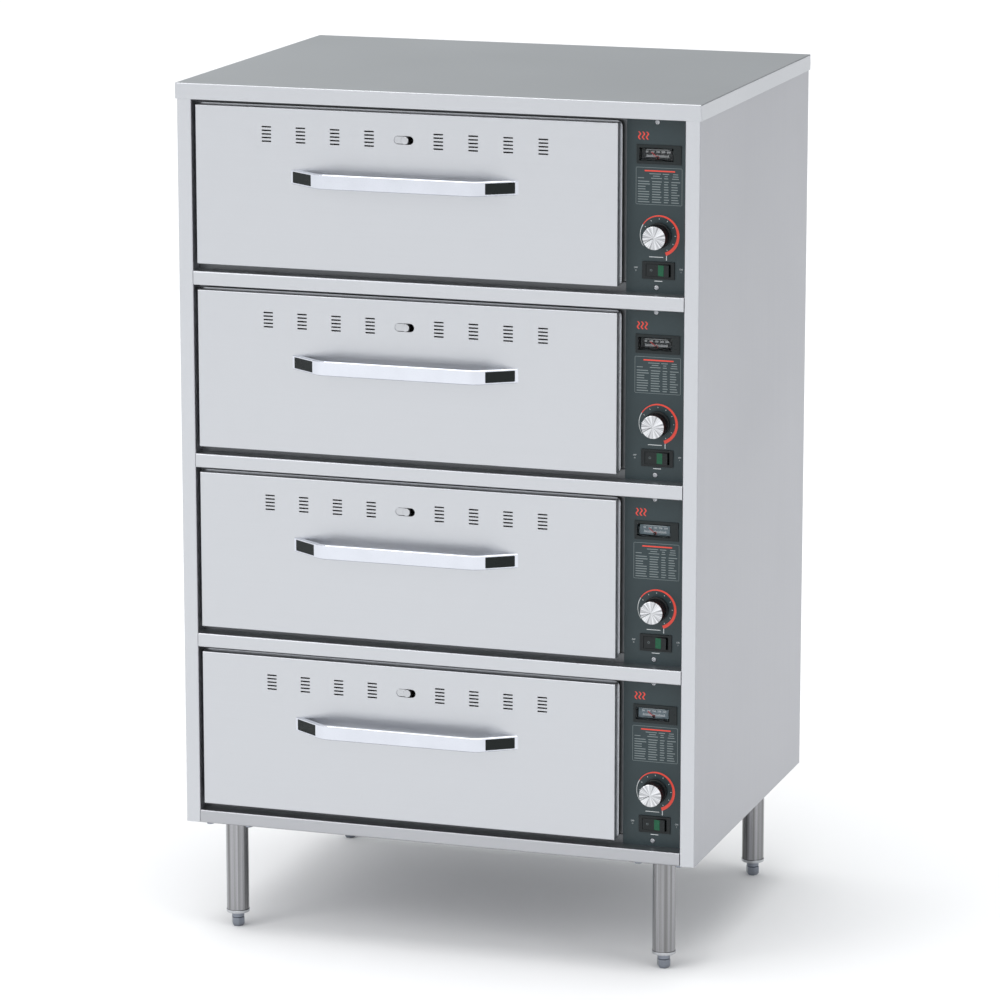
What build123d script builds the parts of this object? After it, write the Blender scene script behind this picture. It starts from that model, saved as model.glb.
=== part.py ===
from build123d import *
import os

# A free-standing food warmer: four heated drawers in a stainless steel cabinet on legs.
# Millimetres. The origin is on the floor under the middle of the cabinet and +Z is up.
# The drawers open towards -Y, and the controls are on their +X side. Each drawer unit is
# drawn at its own level, where z = 0 is the lower edge of its opening in the front frame.

# Small round pieces are drawn with flats: pins and screws with the first number of sides, rollers
# and the like with the second, and the knob's grip with the third.
pin_sides = 8
round_sides = 16
grip_sides = 24

# Driving dimensions: cabinet
cabinet_width = 745.0
cabinet_depth = 571.0
drawer_count = 4
opening_height = 236.8
rail_height = 20.2
bottom_rail_height = 18.4
top_band = 23.0
stile_width = 21.0
frame_depth = 24.0
control_bay_width = 93.0
sheet = 1.5
bend_radius = 2.5
lid_gap = 0.5
lid_skirt = 22.0
back_sheet = 1.2
back_edge = 6.0
base_upturn = 18.0

# Heated cavity behind each opening
liner_sheet = 1.2
cavity_edge = 2.0
cavity_floor = 13.0
cavity_roof_drop = 8.0
rear_space = 67.0
flange_reach = 6.5
flange_drop = 8.0
flange_rise = 6.0
bezel_strip = 5.5
corner_relief = 0.9

# Drawer front
side_gap = 6.0
top_gap = 6.0
bottom_gap = 10.2
front_thickness = 16.0
front_skin = 1.2
front_edge = 0.9
plate_edge = 1.5
plate_sheet = 1.2
plate_corner = 8.0

# Vent slots and the damper behind them
slot_length = 13.6
slot_height = 2.0
slot_pitch = 4.95
slot_rows = 5
group_pitch = 49.5
groups_each_side = 4
vent_drop = 42.4
button_slot_length = 28.0
button_slot_height = 11.5
button_radius = 5.2
button_rest = 2.0
button_proud = 2.0
button_edge = 0.8
damper_height = 30.0
damper_sheet = 1.2
damper_window = 15.0
damper_open_shift = 6.2
guide_gap = 0.3
guide_sheet = 1.2
guide_lip = 3.0

# Handle
handle_half_length = 163.0
handle_half_grip = 112.7
handle_stand_off = 34.0
handle_bar = 6.5
handle_height = 20.0
handle_drop = 99.5
handle_bend = 30.0
handle_edge = 1.0
badge_length = 42.0
badge_margin = 4.5
badge_height = 15.4
badge_depth = 0.8
stud_width = 5.0
stud_hole_gap = 0.3
nut_height = 4.0
nut_width = 8.0

# Drawer frame, runners and rollers
runner_sheet = 2.7
runner_lane = 10.8
runner_height = 175.0
runner_rear_gap = 16.8
runner_skirt = 16.0
roller_radius = 11.0
roller_width = 8.0
roller_gap = 0.3
axle_radius = 3.0
axle_gap = 0.05
axle_head_radius = 5.0
axle_head = 0.9
axle_side_gap = 0.1
flange_gap = 0.8
front_roller_back = 18.5
rear_roller_inset = 14.0

# Food pan
pan_rim_width = 325.0
pan_rim = 11.0
pan_front_gap = 20.0
pan_ledge = 27.3
pan_play = 2.5
pan_ledge_sheet = 1.5
pan_depth = 150.0
pan_sheet = 1.0
pan_draft = 5.3
pan_corner = 32.0
corner_cuts = (0.586, 0.215)
pan_bottom_edge = 10.0
rear_drop = 25.0

# Heating element
element_width = 30.0
element_thickness = 3.0
element_height = 12.0
element_side = 60.0
element_front = 60.0
element_rear_gap = 30.0
terminal_width = 8.0
terminal_length = 20.0
terminal_gap = 0.5
bracket_width = 12.0

# Control panel pieces: offsets from the left edge of the panel and from the opening's top
cut_out_gap = 0.3
gauge_offset = 45.0
gauge_drop = 49.3
gauge_width = 62.0
gauge_height = 25.8
gauge_flange = 1.5
gauge_rim = 2.0
gauge_body_depth = 16.0
window_shift = -3.75
window_width = 45.5
window_height = 15.6
window_depth = 8.0
lens_edge = 1.0
lens_thickness = 1.0
lens_gap = 0.1
pointer_length = 11.0
pointer_width = 0.9
pointer_sheet = 0.6
pointer_hub_radius = 2.2
pointer_hub = 1.6
pointer_pin_radius = 0.9
pointer_pivot_rise = 3.0
pointer_rest_angle = 50.0

knob_offset = 45.7
knob_drop = 158.3
knob_radius = 17.6
knob_gap = 1.0
knob_height = 25.0
knob_skirt = 3.5
knob_step = 1.4
knob_draft = 3.0
knob_edge = 0.8
pointer_line_width = 1.4
pointer_line_depth = 0.8
pointer_line_start = 5.0
pointer_line_angle = 210.0
shaft_radius = 3.0
shaft_gap = 0.1
shaft_hole_gap = 0.4
thermostat_size = 34.0
thermostat_depth = 28.0
shaft_tail = 12.0

switch_offset = 45.3
switch_drop = 205.6
switch_width = 45.0
switch_height = 23.5
switch_flange = 2.0
switch_body_edge = 2.2
switch_body_depth = 22.0
rocker_width = 32.4
rocker_height = 16.2
rocker_side_gap = 0.9
rocker_end_gap = 0.2
rocker_rise = 5.0
rocker_dip = 1.8
rocker_well = 9.0
rocker_pivot_depth = 1.0
rocker_pin_radius = 1.5
rocker_tilt = 6.0

# Legs and levelling feet
leg_height = 163.0
leg_radius = 16.0
leg_inset_x = 56.5
leg_inset_y = 50.5
leg_plate = 80.0
leg_plate_thickness = 3.0
collar_height = 5.0
collar_step = 0.8
foot_height = 21.0
foot_radius = 9.75
foot_toe_inset = 2.4
foot_toe_height = 6.0
foot_stem_radius = 5.0
foot_stem_gap = 0.1
foot_stem_length = 45.0
foot_hex = 8.0

# Fasteners and the cord's bushing
bolt_width = 10.0
bolt_height = 4.0
bolt_spacing = 58.0
screw_radius = 3.6
screw_height = 1.8
screw_edge = 11.0
back_screws_each_side = 4
panel_screw_offset = 42.5
panel_screw_top = 5.6
panel_screw_bottom = 7.6
cord_bushing_radius = 11.0
cord_bushing_flange = 14.0
cord_bushing_length = 12.0
cord_bore_radius = 6.0
cord_bushing_side = 72.0
cord_bushing_rise = 55.0

# Places worked out from the sizes above. The handles stand out in front and the cord's bushing
# behind, so the cabinet itself sits a little behind the middle of the whole.
rear_proud = 3 * back_sheet
pitch = opening_height + rail_height
levels = [leg_height + bottom_rail_height + i * pitch for i in reversed(range(drawer_count))]
cabinet_top = levels[0] + opening_height + top_band
front_y = (handle_stand_off - cabinet_depth - rear_proud) / 2
back_y = front_y + cabinet_depth
bezel_y = front_y + frame_depth
opening_half = cabinet_width / 2 - stile_width
face_left = -opening_half + side_gap
face_right = opening_half - control_bay_width
face_width = face_right - face_left
face_x = (face_left + face_right) / 2
face_top = opening_height - top_gap
face_height = face_top - bottom_gap
face_z = bottom_gap + face_height / 2
plate_y = front_y + front_thickness
plate_back = plate_y + plate_sheet
vent_z = opening_height - vent_drop
cavity_left = face_left + cavity_edge
cavity_right = face_right - cavity_edge
cavity_roof = opening_height - cavity_roof_drop
cavity_back = back_y - rear_space
panel_left = face_right + bezel_strip
flange_top = opening_height + flange_rise
panel_right = opening_half + flange_reach

# Runners: distances from the middle of the cavity to each layer between wall and drawer
wall_half = (cavity_right - cavity_left) / 2
channel_half = wall_half - runner_sheet
side_half = channel_half - runner_lane
side_inner = side_half - runner_sheet
rail_rise = roller_radius + roller_gap
rail_top = rail_rise + runner_sheet
runner_end = cavity_back - runner_rear_gap
front_roller_y = bezel_y + front_roller_back
rear_roller_y = runner_end - rear_roller_inset

# Food pan seat
pan_y = plate_back + pan_front_gap + pan_rim_width / 2
pan_half_length = side_inner - pan_ledge - pan_play
pan_half_width = pan_rim_width / 2 - pan_rim
rim_z = runner_height + rail_top

# Heating element: its two side runs end in terminals behind the cavity
element_half = wall_half - element_side
element_z = cavity_floor + element_height
terminal_z = element_z + element_thickness / 2
terminal_places = [(face_x + side * element_half, terminal_z) for side in (-1, 1)]

# Vent slots stand in groups on both sides of the button, and the damper covers them all
vent_groups = [group_pitch * i for i in range(-groups_each_side, groups_each_side + 1) if i != 0]
damper_half_length = group_pitch * (groups_each_side + 0.5)

# Handle: its slanted ends meet the front at its studs
handle_z = opening_height - handle_drop
slope_run = handle_half_length - handle_half_grip
slope_length = (slope_run**2 + handle_stand_off**2) ** 0.5
stud_reach = handle_half_length - handle_bar * slope_length / handle_stand_off / 2
stud_places = [(face_x - stud_reach, handle_z), (face_x + stud_reach, handle_z)]

# Gauge, knob and switch on the control panel
gauge_x = panel_left + gauge_offset
gauge_z = opening_height - gauge_drop
window_x = gauge_x + window_shift
gauge_front = bezel_y - gauge_flange
gauge_floor = gauge_front + window_depth
pivot_z = gauge_z - window_height / 2 + pointer_pivot_rise
knob_x = panel_left + knob_offset
knob_z = opening_height - knob_drop
switch_x = panel_left + switch_offset
switch_z = opening_height - switch_drop
rocker_pivot_y = bezel_y + rocker_pivot_depth

# Legs and the hole for the cord
leg_x = cabinet_width / 2 - leg_inset_x
leg_rows = (front_y + leg_inset_y, back_y - leg_inset_y)
leg_places = [(x, y) for y in leg_rows for x in (-leg_x, leg_x)]
cord_place = (cabinet_width / 2 - cord_bushing_side, leg_height + cord_bushing_rise)


def front_plane(y):
    """Plane square to the drawers' travel. Extruding from it by a minus amount goes rearwards."""
    return Plane.XZ.offset(-y)


def block(low, high, mode=Mode.ADD):
    """A box between two opposite corners."""
    size = [end - start for start, end in zip(low, high)]
    with Locations(low):
        Box(*size, align=(Align.MIN, Align.MIN, Align.MIN), mode=mode)


def folded_section(points):
    """Section of a bent sheet whose outer skin follows the points, with the metal on their left."""
    with BuildSketch() as section:
        with BuildLine():
            FilletPolyline(*points, radius=bend_radius)
            offset(amount=sheet, side=Side.LEFT)
        make_face()
    return section.sketch


def write_node(piece, name):
    """Labels one finished sub-part and writes its file."""
    piece.label = name
    export_step(piece, f"parts/{name}.step")


def at_levels(piece, name):
    """One sub-part made of the same piece at every drawer's level."""
    with BuildPart() as stack:
        with Locations(*[(0, 0, level) for level in levels]):
            add(piece)
    write_node(stack.part, name)


# ---------------------------------------------------------------- cabinet


def side_panels():
    """Left and right skins: each is one sheet folded into the stile in front and a rear return."""
    outer = cabinet_width / 2
    section = folded_section(
        [
            (opening_half, bezel_y),
            (opening_half, front_y),
            (outer, front_y),
            (outer, back_y),
            (opening_half, back_y),
        ]
    )
    with BuildPart() as panels:
        with BuildSketch(Plane.XY.offset(leg_height)):
            add(section)
        extrude(amount=cabinet_top - sheet - leg_height)
        mirror(about=Plane.YZ)
    write_node(panels.part, "side_panels")


def front_rails():
    """Rails between the openings and under the lid: channels that open to the rear."""
    spans = [(level - rail_height, level) for level in levels[:-1]]
    spans.append((levels[0] + opening_height, cabinet_top - sheet))
    sections = [
        folded_section([(bezel_y, top), (front_y, top), (front_y, bottom), (bezel_y, bottom)])
        for bottom, top in spans
    ]
    with BuildPart() as rails:
        for section in sections:
            with BuildSketch(Plane.YZ.offset(-opening_half)):
                add(section)
            extrude(amount=2 * opening_half)
    write_node(rails.part, "front_rails")


def top_cover():
    """Lid: a flat sheet with a shallow skirt that laps the cabinet on all four sides."""
    reach = lid_gap + sheet
    low = (-cabinet_width / 2 - reach, front_y - reach, cabinet_top - lid_skirt)
    high = (cabinet_width / 2 + reach, back_y + reach, cabinet_top)
    inner_low = (low[0] + sheet, low[1] + sheet, low[2])
    inner_high = (high[0] - sheet, high[1] - sheet, cabinet_top - sheet)
    with BuildPart() as lid:
        block(low, high)
        fillet(lid.edges().filter_by(Axis.Z), radius=bend_radius)
        chamfer(lid.faces().sort_by(Axis.Z)[-1].edges(), length=sheet / 2)
        block(inner_low, inner_high, mode=Mode.SUBTRACT)
    write_node(lid.part, "top_cover")


def base_panel():
    """Bottom sheet. Its front is folded up and back as the lowest rail, its rear is folded up."""
    section = folded_section(
        [
            (bezel_y, levels[-1]),
            (front_y, levels[-1]),
            (front_y, leg_height),
            (back_y, leg_height),
            (back_y, leg_height + base_upturn),
        ]
    )
    side_low = (opening_half, bezel_y, leg_height)
    side_high = (cabinet_width / 2 - sheet, back_y - bend_radius, leg_height + sheet)
    with BuildPart() as base:
        with BuildSketch(Plane.YZ.offset(-opening_half)):
            add(section)
        extrude(amount=2 * opening_half)
        block(side_low, side_high)
        block((-side_high[0], side_low[1], side_low[2]), (-side_low[0], side_high[1], side_high[2]))
    write_node(base.part, "base_panel")


def back_panel():
    """Flat rear sheet over the side returns, with the hole for the cord's bushing."""
    half = cabinet_width / 2 - back_edge
    with BuildPart() as back:
        block(
            (-half, back_y, leg_height + back_edge / 2),
            (half, back_y + back_sheet, cabinet_top - lid_skirt - back_edge / 2),
        )
        with BuildSketch(front_plane(back_y)):
            with Locations(cord_place):
                RegularPolygon(cord_bushing_radius, round_sides)
        extrude(amount=-back_sheet, mode=Mode.SUBTRACT)
    write_node(back.part, "back_panel")


def cord_bushing():
    """Gland that lines the cord's hole: a hexagon flange outside and a sleeve through the sheet."""
    outer_y = back_y + back_sheet
    with BuildPart() as bushing:
        with BuildSketch(front_plane(outer_y)):
            with Locations(cord_place):
                RegularPolygon(cord_bushing_radius, round_sides)
        extrude(amount=cord_bushing_length)
        with BuildSketch(front_plane(outer_y)):
            with Locations(cord_place):
                RegularPolygon(cord_bushing_flange, 6)
        extrude(amount=-2 * back_sheet)
        with BuildSketch(front_plane(outer_y + 2 * back_sheet)):
            with Locations(cord_place):
                Circle(cord_bore_radius)
        extrude(amount=cord_bushing_length + 2 * back_sheet, mode=Mode.SUBTRACT)
    write_node(bushing.part, "cord_bushing")


# ---------------------------------------------------------------- cavity, slides and element


def cavity_liner():
    """Open-fronted heated box whose front flanges show round the drawer."""
    with BuildPart() as liner:
        block(
            (cavity_left - liner_sheet, bezel_y, cavity_floor - liner_sheet),
            (cavity_right + liner_sheet, cavity_back + liner_sheet, cavity_roof + liner_sheet),
        )
        block(
            (-panel_right, bezel_y, -flange_drop),
            (panel_left, bezel_y + liner_sheet, flange_top),
        )
        block(
            (cavity_left, bezel_y, cavity_floor),
            (cavity_right, cavity_back, cavity_roof),
            mode=Mode.SUBTRACT,
        )
        for start, end in (
            (cavity_right + liner_sheet, panel_left),
            (-panel_right, cavity_left - liner_sheet),
        ):
            block(
                (start, bezel_y, cavity_floor),
                (end, bezel_y + liner_sheet, cavity_floor + corner_relief),
                mode=Mode.SUBTRACT,
            )
        with BuildSketch(front_plane(cavity_back)):
            with Locations(*terminal_places):
                Rectangle(terminal_width + terminal_gap, element_thickness + terminal_gap)
        extrude(amount=-liner_sheet, mode=Mode.SUBTRACT)
    return liner.part


def heating_element():
    """Flat sheathed element in a U over the cavity floor, on brackets, with two rear terminals."""
    low_y = bezel_y + element_front
    high_y = cavity_back - element_rear_gap
    top_z = element_z + element_thickness
    half_strip = element_width / 2
    with BuildPart() as element:
        block(
            (face_x - element_half - half_strip, low_y, element_z),
            (face_x + element_half + half_strip, low_y + element_width, top_z),
        )
        for place_x, _ in terminal_places:
            block((place_x - half_strip, low_y, element_z), (place_x + half_strip, high_y, top_z))
            block(
                (place_x - terminal_width / 2, high_y, element_z),
                (place_x + terminal_width / 2, cavity_back + terminal_length, top_z),
            )
            for bracket_y in (low_y, high_y - bracket_width):
                block(
                    (place_x - bracket_width / 2, bracket_y, cavity_floor),
                    (place_x + bracket_width / 2, bracket_y + bracket_width, element_z),
                )
    return element.part


def axle(plane):
    """Roller axle riveted to a web: shoulder, pin and head, standing on the plane."""
    shoulder = (runner_lane - roller_width) / 2 - axle_side_gap
    head_base = shoulder + roller_width + 2 * axle_side_gap
    with BuildPart() as pin:
        with BuildSketch(plane):
            RegularPolygon(axle_head_radius, 6)
        extrude(amount=shoulder)
        with BuildSketch(plane):
            RegularPolygon(axle_radius, pin_sides)
        extrude(amount=head_base)
        with BuildSketch(plane.offset(head_base)):
            RegularPolygon(axle_head_radius, 6)
        extrude(amount=axle_head)
    return pin.part


def cabinet_slide():
    """Both channels of one drawer: web, upper and lower tracks, and the front axle."""
    web_x = face_x + channel_half
    tip_x = face_x + side_half + flange_gap
    start_y = bezel_y + liner_sheet
    low_z = runner_height - rail_rise - runner_sheet
    high_z = runner_height + rail_top + flange_gap
    front_axle = axle(Plane(origin=(web_x, front_roller_y, runner_height), z_dir=(-1, 0, 0)))
    with BuildPart() as slide:
        block(
            (web_x, start_y, low_z),
            (face_x + wall_half, cavity_back, high_z + runner_sheet),
        )
        block((tip_x, start_y, low_z), (web_x, cavity_back, low_z + runner_sheet))
        block((tip_x, start_y, high_z), (web_x, cavity_back, high_z + runner_sheet))
        add(front_axle)
        mirror(about=Plane.YZ.offset(face_x))
    return slide.part


def roller_pair(y):
    """The left and right nylon rollers of one drawer, which turn on their axles."""
    inner_x = face_x + side_half + (runner_lane - roller_width) / 2
    with BuildPart() as pair:
        with BuildSketch(Plane(origin=(inner_x, y, runner_height), z_dir=(1, 0, 0))):
            RegularPolygon(roller_radius, round_sides)
            RegularPolygon(axle_radius + axle_gap, pin_sides, major_radius=False, mode=Mode.SUBTRACT)
        extrude(amount=roller_width)
        mirror(about=Plane.YZ.offset(face_x))
    return pair.part


# ---------------------------------------------------------------- drawer


def drawer_front():
    """Folded front pan: punched vent slots, the button's slot, and guides for the damper."""
    rows = [vent_z + slot_pitch * (i - (slot_rows - 1) / 2) for i in range(slot_rows)]
    half_damper = damper_height / 2 + guide_gap
    guide_half = damper_half_length - group_pitch / 2
    guide_depth = 2 * guide_gap + damper_sheet
    skin_back = front_y + front_skin
    with BuildPart() as front:
        block((face_left, front_y, bottom_gap), (face_right, plate_y, face_top))
        chamfer(front.faces().sort_by(Axis.Y)[0].edges(), length=front_edge)
        block(
            (face_left + front_skin, skin_back, bottom_gap + front_skin),
            (face_right - front_skin, plate_y, face_top - front_skin),
            mode=Mode.SUBTRACT,
        )
        for side in (-1, 1):
            edge = vent_z + side * half_damper
            outer = edge + side * guide_sheet
            inner = edge - side * guide_lip
            block(
                (face_x - guide_half, skin_back, min(edge, outer)),
                (face_x + guide_half, skin_back + guide_depth, max(edge, outer)),
            )
            block(
                (face_x - guide_half, skin_back + guide_depth, min(inner, outer)),
                (face_x + guide_half, skin_back + guide_depth + guide_sheet, max(inner, outer)),
            )
        with BuildSketch(front_plane(front_y)):
            with Locations(*[(face_x + x, z) for x in vent_groups for z in rows]):
                Rectangle(slot_length, slot_height)
            with Locations((face_x, vent_z)):
                SlotOverall(button_slot_length, button_slot_height)
            with Locations(*stud_places):
                Rectangle(stud_width + stud_hole_gap, stud_width + stud_hole_gap)
        extrude(amount=-front_skin, mode=Mode.SUBTRACT)
    return front.part


def vent_damper():
    """Sliding plate with a window for each slot group and a round button in front."""
    plate_front = front_y + front_skin + guide_gap
    button_x = face_x + button_rest
    notch_width = button_slot_length / 2 - button_rest - button_radius
    with BuildPart() as damper:
        with BuildSketch(front_plane(plate_front)):
            with Locations((face_x, vent_z)):
                Rectangle(2 * damper_half_length, damper_height)
            with Locations(*[(face_x - damper_open_shift + x, vent_z) for x in vent_groups]):
                Rectangle(damper_window, slot_pitch * slot_rows, mode=Mode.SUBTRACT)
            with Locations((button_x + button_radius + notch_width / 2, vent_z)):
                Rectangle(notch_width, button_slot_height, mode=Mode.SUBTRACT)
        extrude(amount=-damper_sheet)
        with BuildSketch(front_plane(plate_front)):
            with Locations((button_x, vent_z)):
                RegularPolygon(button_radius, round_sides)
        extrude(amount=guide_gap + front_skin + button_proud)
        chamfer(damper.faces().sort_by(Axis.Y)[0].edges(), length=button_edge)
    return damper.part


def drawer_handle():
    """Flat bar bent out from the front, with badge recesses, square studs and nuts behind."""
    slope_x = slope_run / slope_length
    slope_y = handle_stand_off / slope_length
    tail = 2 * handle_bar
    outer_line = [
        (face_x - handle_half_length - tail * slope_x, front_y + tail * slope_y),
        (face_x - handle_half_grip, front_y - handle_stand_off),
        (face_x + handle_half_grip, front_y - handle_stand_off),
        (face_x + handle_half_length + tail * slope_x, front_y + tail * slope_y),
    ]
    reach = badge_margin + badge_length / 2
    badge_planes = [
        Plane(
            origin=(
                face_x + side * (handle_half_length - reach * slope_x),
                front_y - reach * slope_y,
                handle_z,
            ),
            x_dir=(-side * slope_x, -slope_y, 0),
            z_dir=(side * slope_y, -slope_x, 0),
        )
        for side in (-1, 1)
    ]
    with BuildPart() as handle:
        with BuildSketch(Plane.XY.offset(handle_z - handle_height / 2)):
            with BuildLine():
                FilletPolyline(*outer_line, radius=handle_bend)
                offset(amount=handle_bar, side=Side.LEFT)
            make_face()
        extrude(amount=handle_height)
        split(bisect_by=front_plane(front_y), keep=Keep.TOP)
        rims = handle.faces().filter_by(Axis.Z).edges()
        chamfer([rim for rim in rims if rim.center().Y < front_y - handle_edge], length=handle_edge)
        for badge_plane in badge_planes:
            with BuildSketch(badge_plane):
                Rectangle(badge_length, badge_height)
            extrude(amount=-badge_depth, mode=Mode.SUBTRACT)
        with BuildSketch(front_plane(front_y)):
            with Locations(*stud_places):
                Rectangle(stud_width, stud_width)
        extrude(amount=-front_skin)
        with BuildSketch(front_plane(front_y + front_skin)):
            with Locations(*stud_places):
                RegularPolygon(nut_width / 2, 6, major_radius=False)
        extrude(amount=-nut_height)
    return handle.part


def drawer_frame():
    """Back plate of the front, two runner channels, the pan's ledge and the rear cross piece."""
    frame_end = pan_y + pan_half_width + pan_play + pan_ledge
    pan_hole = pan_outline(-pan_play)
    web_x = face_x + side_half
    rear_axle = axle(Plane(origin=(web_x, rear_roller_y, runner_height), z_dir=(1, 0, 0)))
    with BuildPart() as frame:
        with BuildSketch(front_plane(plate_y)):
            with Locations((face_x, face_z)):
                RectangleRounded(face_width + 2 * plate_edge, face_height + 2 * plate_edge, plate_corner)
            with Locations((face_x, vent_z)):
                Rectangle(2 * damper_half_length, damper_height, mode=Mode.SUBTRACT)
        extrude(amount=-plate_sheet)
        with BuildSketch(Plane.XY.offset(rim_z)):
            with Locations((face_x, (plate_back + frame_end) / 2)):
                Rectangle(2 * side_inner, frame_end - plate_back)
            add(pan_hole, mode=Mode.SUBTRACT)
        extrude(amount=-pan_ledge_sheet)
        block(
            (face_x - side_inner, frame_end - pan_ledge_sheet, rim_z - rear_drop),
            (face_x + side_inner, frame_end, rim_z),
        )
        block(
            (face_x + side_inner, plate_back, runner_height - runner_skirt),
            (web_x, runner_end, rim_z),
        )
        block(
            (web_x, plate_back, runner_height + rail_rise),
            (face_x + channel_half - flange_gap, runner_end, rim_z),
        )
        add(rear_axle)
        mirror(about=Plane.YZ.offset(face_x))
    return frame.part


def pan_outline(inset):
    """The pan's outline drawn in by the inset. Two cuts give each corner its three flats."""
    corner = pan_corner - inset
    with BuildSketch() as outline:
        with Locations((face_x, pan_y)):
            Rectangle(2 * (pan_half_length - inset), 2 * (pan_half_width - inset))
        for cut in corner_cuts:
            chamfer(outline.vertices(), length=cut * corner)
    return outline.sketch


def pan_bowl(inset):
    """Solid of the pan's bowl, drawn in by the inset on its sides and bottom."""
    outline = pan_outline(inset)
    top_plane = Plane.XY.offset(rim_z + pan_sheet)
    with BuildPart() as bowl:
        with BuildSketch(top_plane):
            add(outline)
        extrude(amount=inset - pan_depth)
        draft(bowl.faces().filter_by(Axis.Z, reverse=True), top_plane, -pan_draft)
        chamfer(bowl.faces().sort_by(Axis.Z)[0].edges(), length=pan_bottom_edge - inset / 2)
    return bowl.part


def food_pan():
    """Deep pan with drawn sides that taper in, hung by its rim on the drawer frame's ledge."""
    rim = pan_outline(-pan_rim)
    bowl = pan_bowl(0)
    cavity = pan_bowl(pan_sheet)
    with BuildPart() as pan:
        with BuildSketch(Plane.XY.offset(rim_z)):
            add(rim)
        extrude(amount=pan_sheet)
        add(bowl)
        add(cavity, mode=Mode.SUBTRACT)
    return pan.part


# ---------------------------------------------------------------- controls


def control_panel():
    """Dark panel beside the drawer, with cut-outs for the gauge, the knob and the switch."""
    with BuildPart() as panel:
        block((panel_left, bezel_y, -flange_drop), (panel_right, bezel_y + sheet, flange_top))
        with BuildSketch(front_plane(bezel_y)):
            with Locations((gauge_x, gauge_z)):
                Rectangle(
                    gauge_width - 2 * gauge_rim + cut_out_gap, gauge_height - 2 * gauge_rim + cut_out_gap
                )
            with Locations((knob_x, knob_z)):
                RegularPolygon(shaft_radius + shaft_hole_gap, pin_sides, major_radius=False)
            with Locations((switch_x, switch_z)):
                Rectangle(
                    switch_width - 2 * switch_body_edge + cut_out_gap,
                    switch_height - 2 * switch_body_edge + cut_out_gap,
                )
        extrude(amount=-sheet, mode=Mode.SUBTRACT)
    return panel.part


def gauge_case():
    """Thermometer case: flange on the panel, window pocket, lens seat and the pointer's pin."""
    with BuildPart() as case:
        with BuildSketch(front_plane(bezel_y)):
            with Locations((gauge_x, gauge_z)):
                Rectangle(gauge_width, gauge_height)
        extrude(amount=gauge_flange)
        block(
            (
                gauge_x - gauge_width / 2 + gauge_rim,
                bezel_y,
                gauge_z - gauge_height / 2 + gauge_rim,
            ),
            (
                gauge_x + gauge_width / 2 - gauge_rim,
                bezel_y + gauge_body_depth,
                gauge_z + gauge_height / 2 - gauge_rim,
            ),
        )
        with BuildSketch(front_plane(gauge_front)):
            with Locations((window_x, gauge_z)):
                Rectangle(window_width, window_height)
        extrude(amount=-window_depth, mode=Mode.SUBTRACT)
        with BuildSketch(front_plane(gauge_front)):
            with Locations((window_x, gauge_z)):
                Rectangle(window_width + 2 * lens_edge, window_height + 2 * lens_edge)
        extrude(amount=-lens_thickness, mode=Mode.SUBTRACT)
        with BuildSketch(front_plane(gauge_floor)):
            with Locations((window_x, pivot_z)):
                RegularPolygon(pointer_pin_radius, pin_sides)
        extrude(amount=2 * pointer_hub)
    return case.part


def gauge_lens():
    """Clear window plate in its seat."""
    with BuildPart() as lens:
        with BuildSketch(front_plane(gauge_front)):
            with Locations((window_x, gauge_z)):
                Rectangle(
                    window_width + 2 * (lens_edge - lens_gap), window_height + 2 * (lens_edge - lens_gap)
                )
        extrude(amount=-lens_thickness)
    return lens.part


def gauge_pointer():
    """Needle on a hub that turns on the case's pin; at rest it leans to the cold side."""
    pointer_plane = Plane(
        origin=(window_x, gauge_floor - axle_side_gap, pivot_z), x_dir=(1, 0, 0), z_dir=(0, -1, 0)
    )
    with BuildPart() as pointer:
        with BuildSketch(pointer_plane):
            RegularPolygon(pointer_hub_radius, pin_sides)
        extrude(amount=pointer_hub)
        with BuildSketch(pointer_plane.offset(pointer_hub - pointer_sheet)):
            with Locations(Location((0, 0), pointer_rest_angle)):
                with Locations((0, pointer_length / 2)):
                    Rectangle(pointer_width, pointer_length)
        extrude(amount=pointer_sheet)
        with BuildSketch(pointer_plane):
            RegularPolygon(pointer_pin_radius + axle_gap, pin_sides, major_radius=False)
        extrude(amount=pointer_hub, mode=Mode.SUBTRACT)
    return pointer.part


def thermostat_body():
    """Thermostat fixed flat behind the panel, with the bore its shaft turns in."""
    half = thermostat_size / 2
    with BuildPart() as body:
        block(
            (knob_x - half, bezel_y + sheet, knob_z - half),
            (knob_x + half, bezel_y + sheet + thermostat_depth, knob_z + half),
        )
        with BuildSketch(front_plane(bezel_y + sheet)):
            with Locations((knob_x, knob_z)):
                RegularPolygon(shaft_radius + shaft_gap, pin_sides, major_radius=False)
        extrude(amount=-(shaft_tail + shaft_gap), mode=Mode.SUBTRACT)
    return body.part


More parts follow.
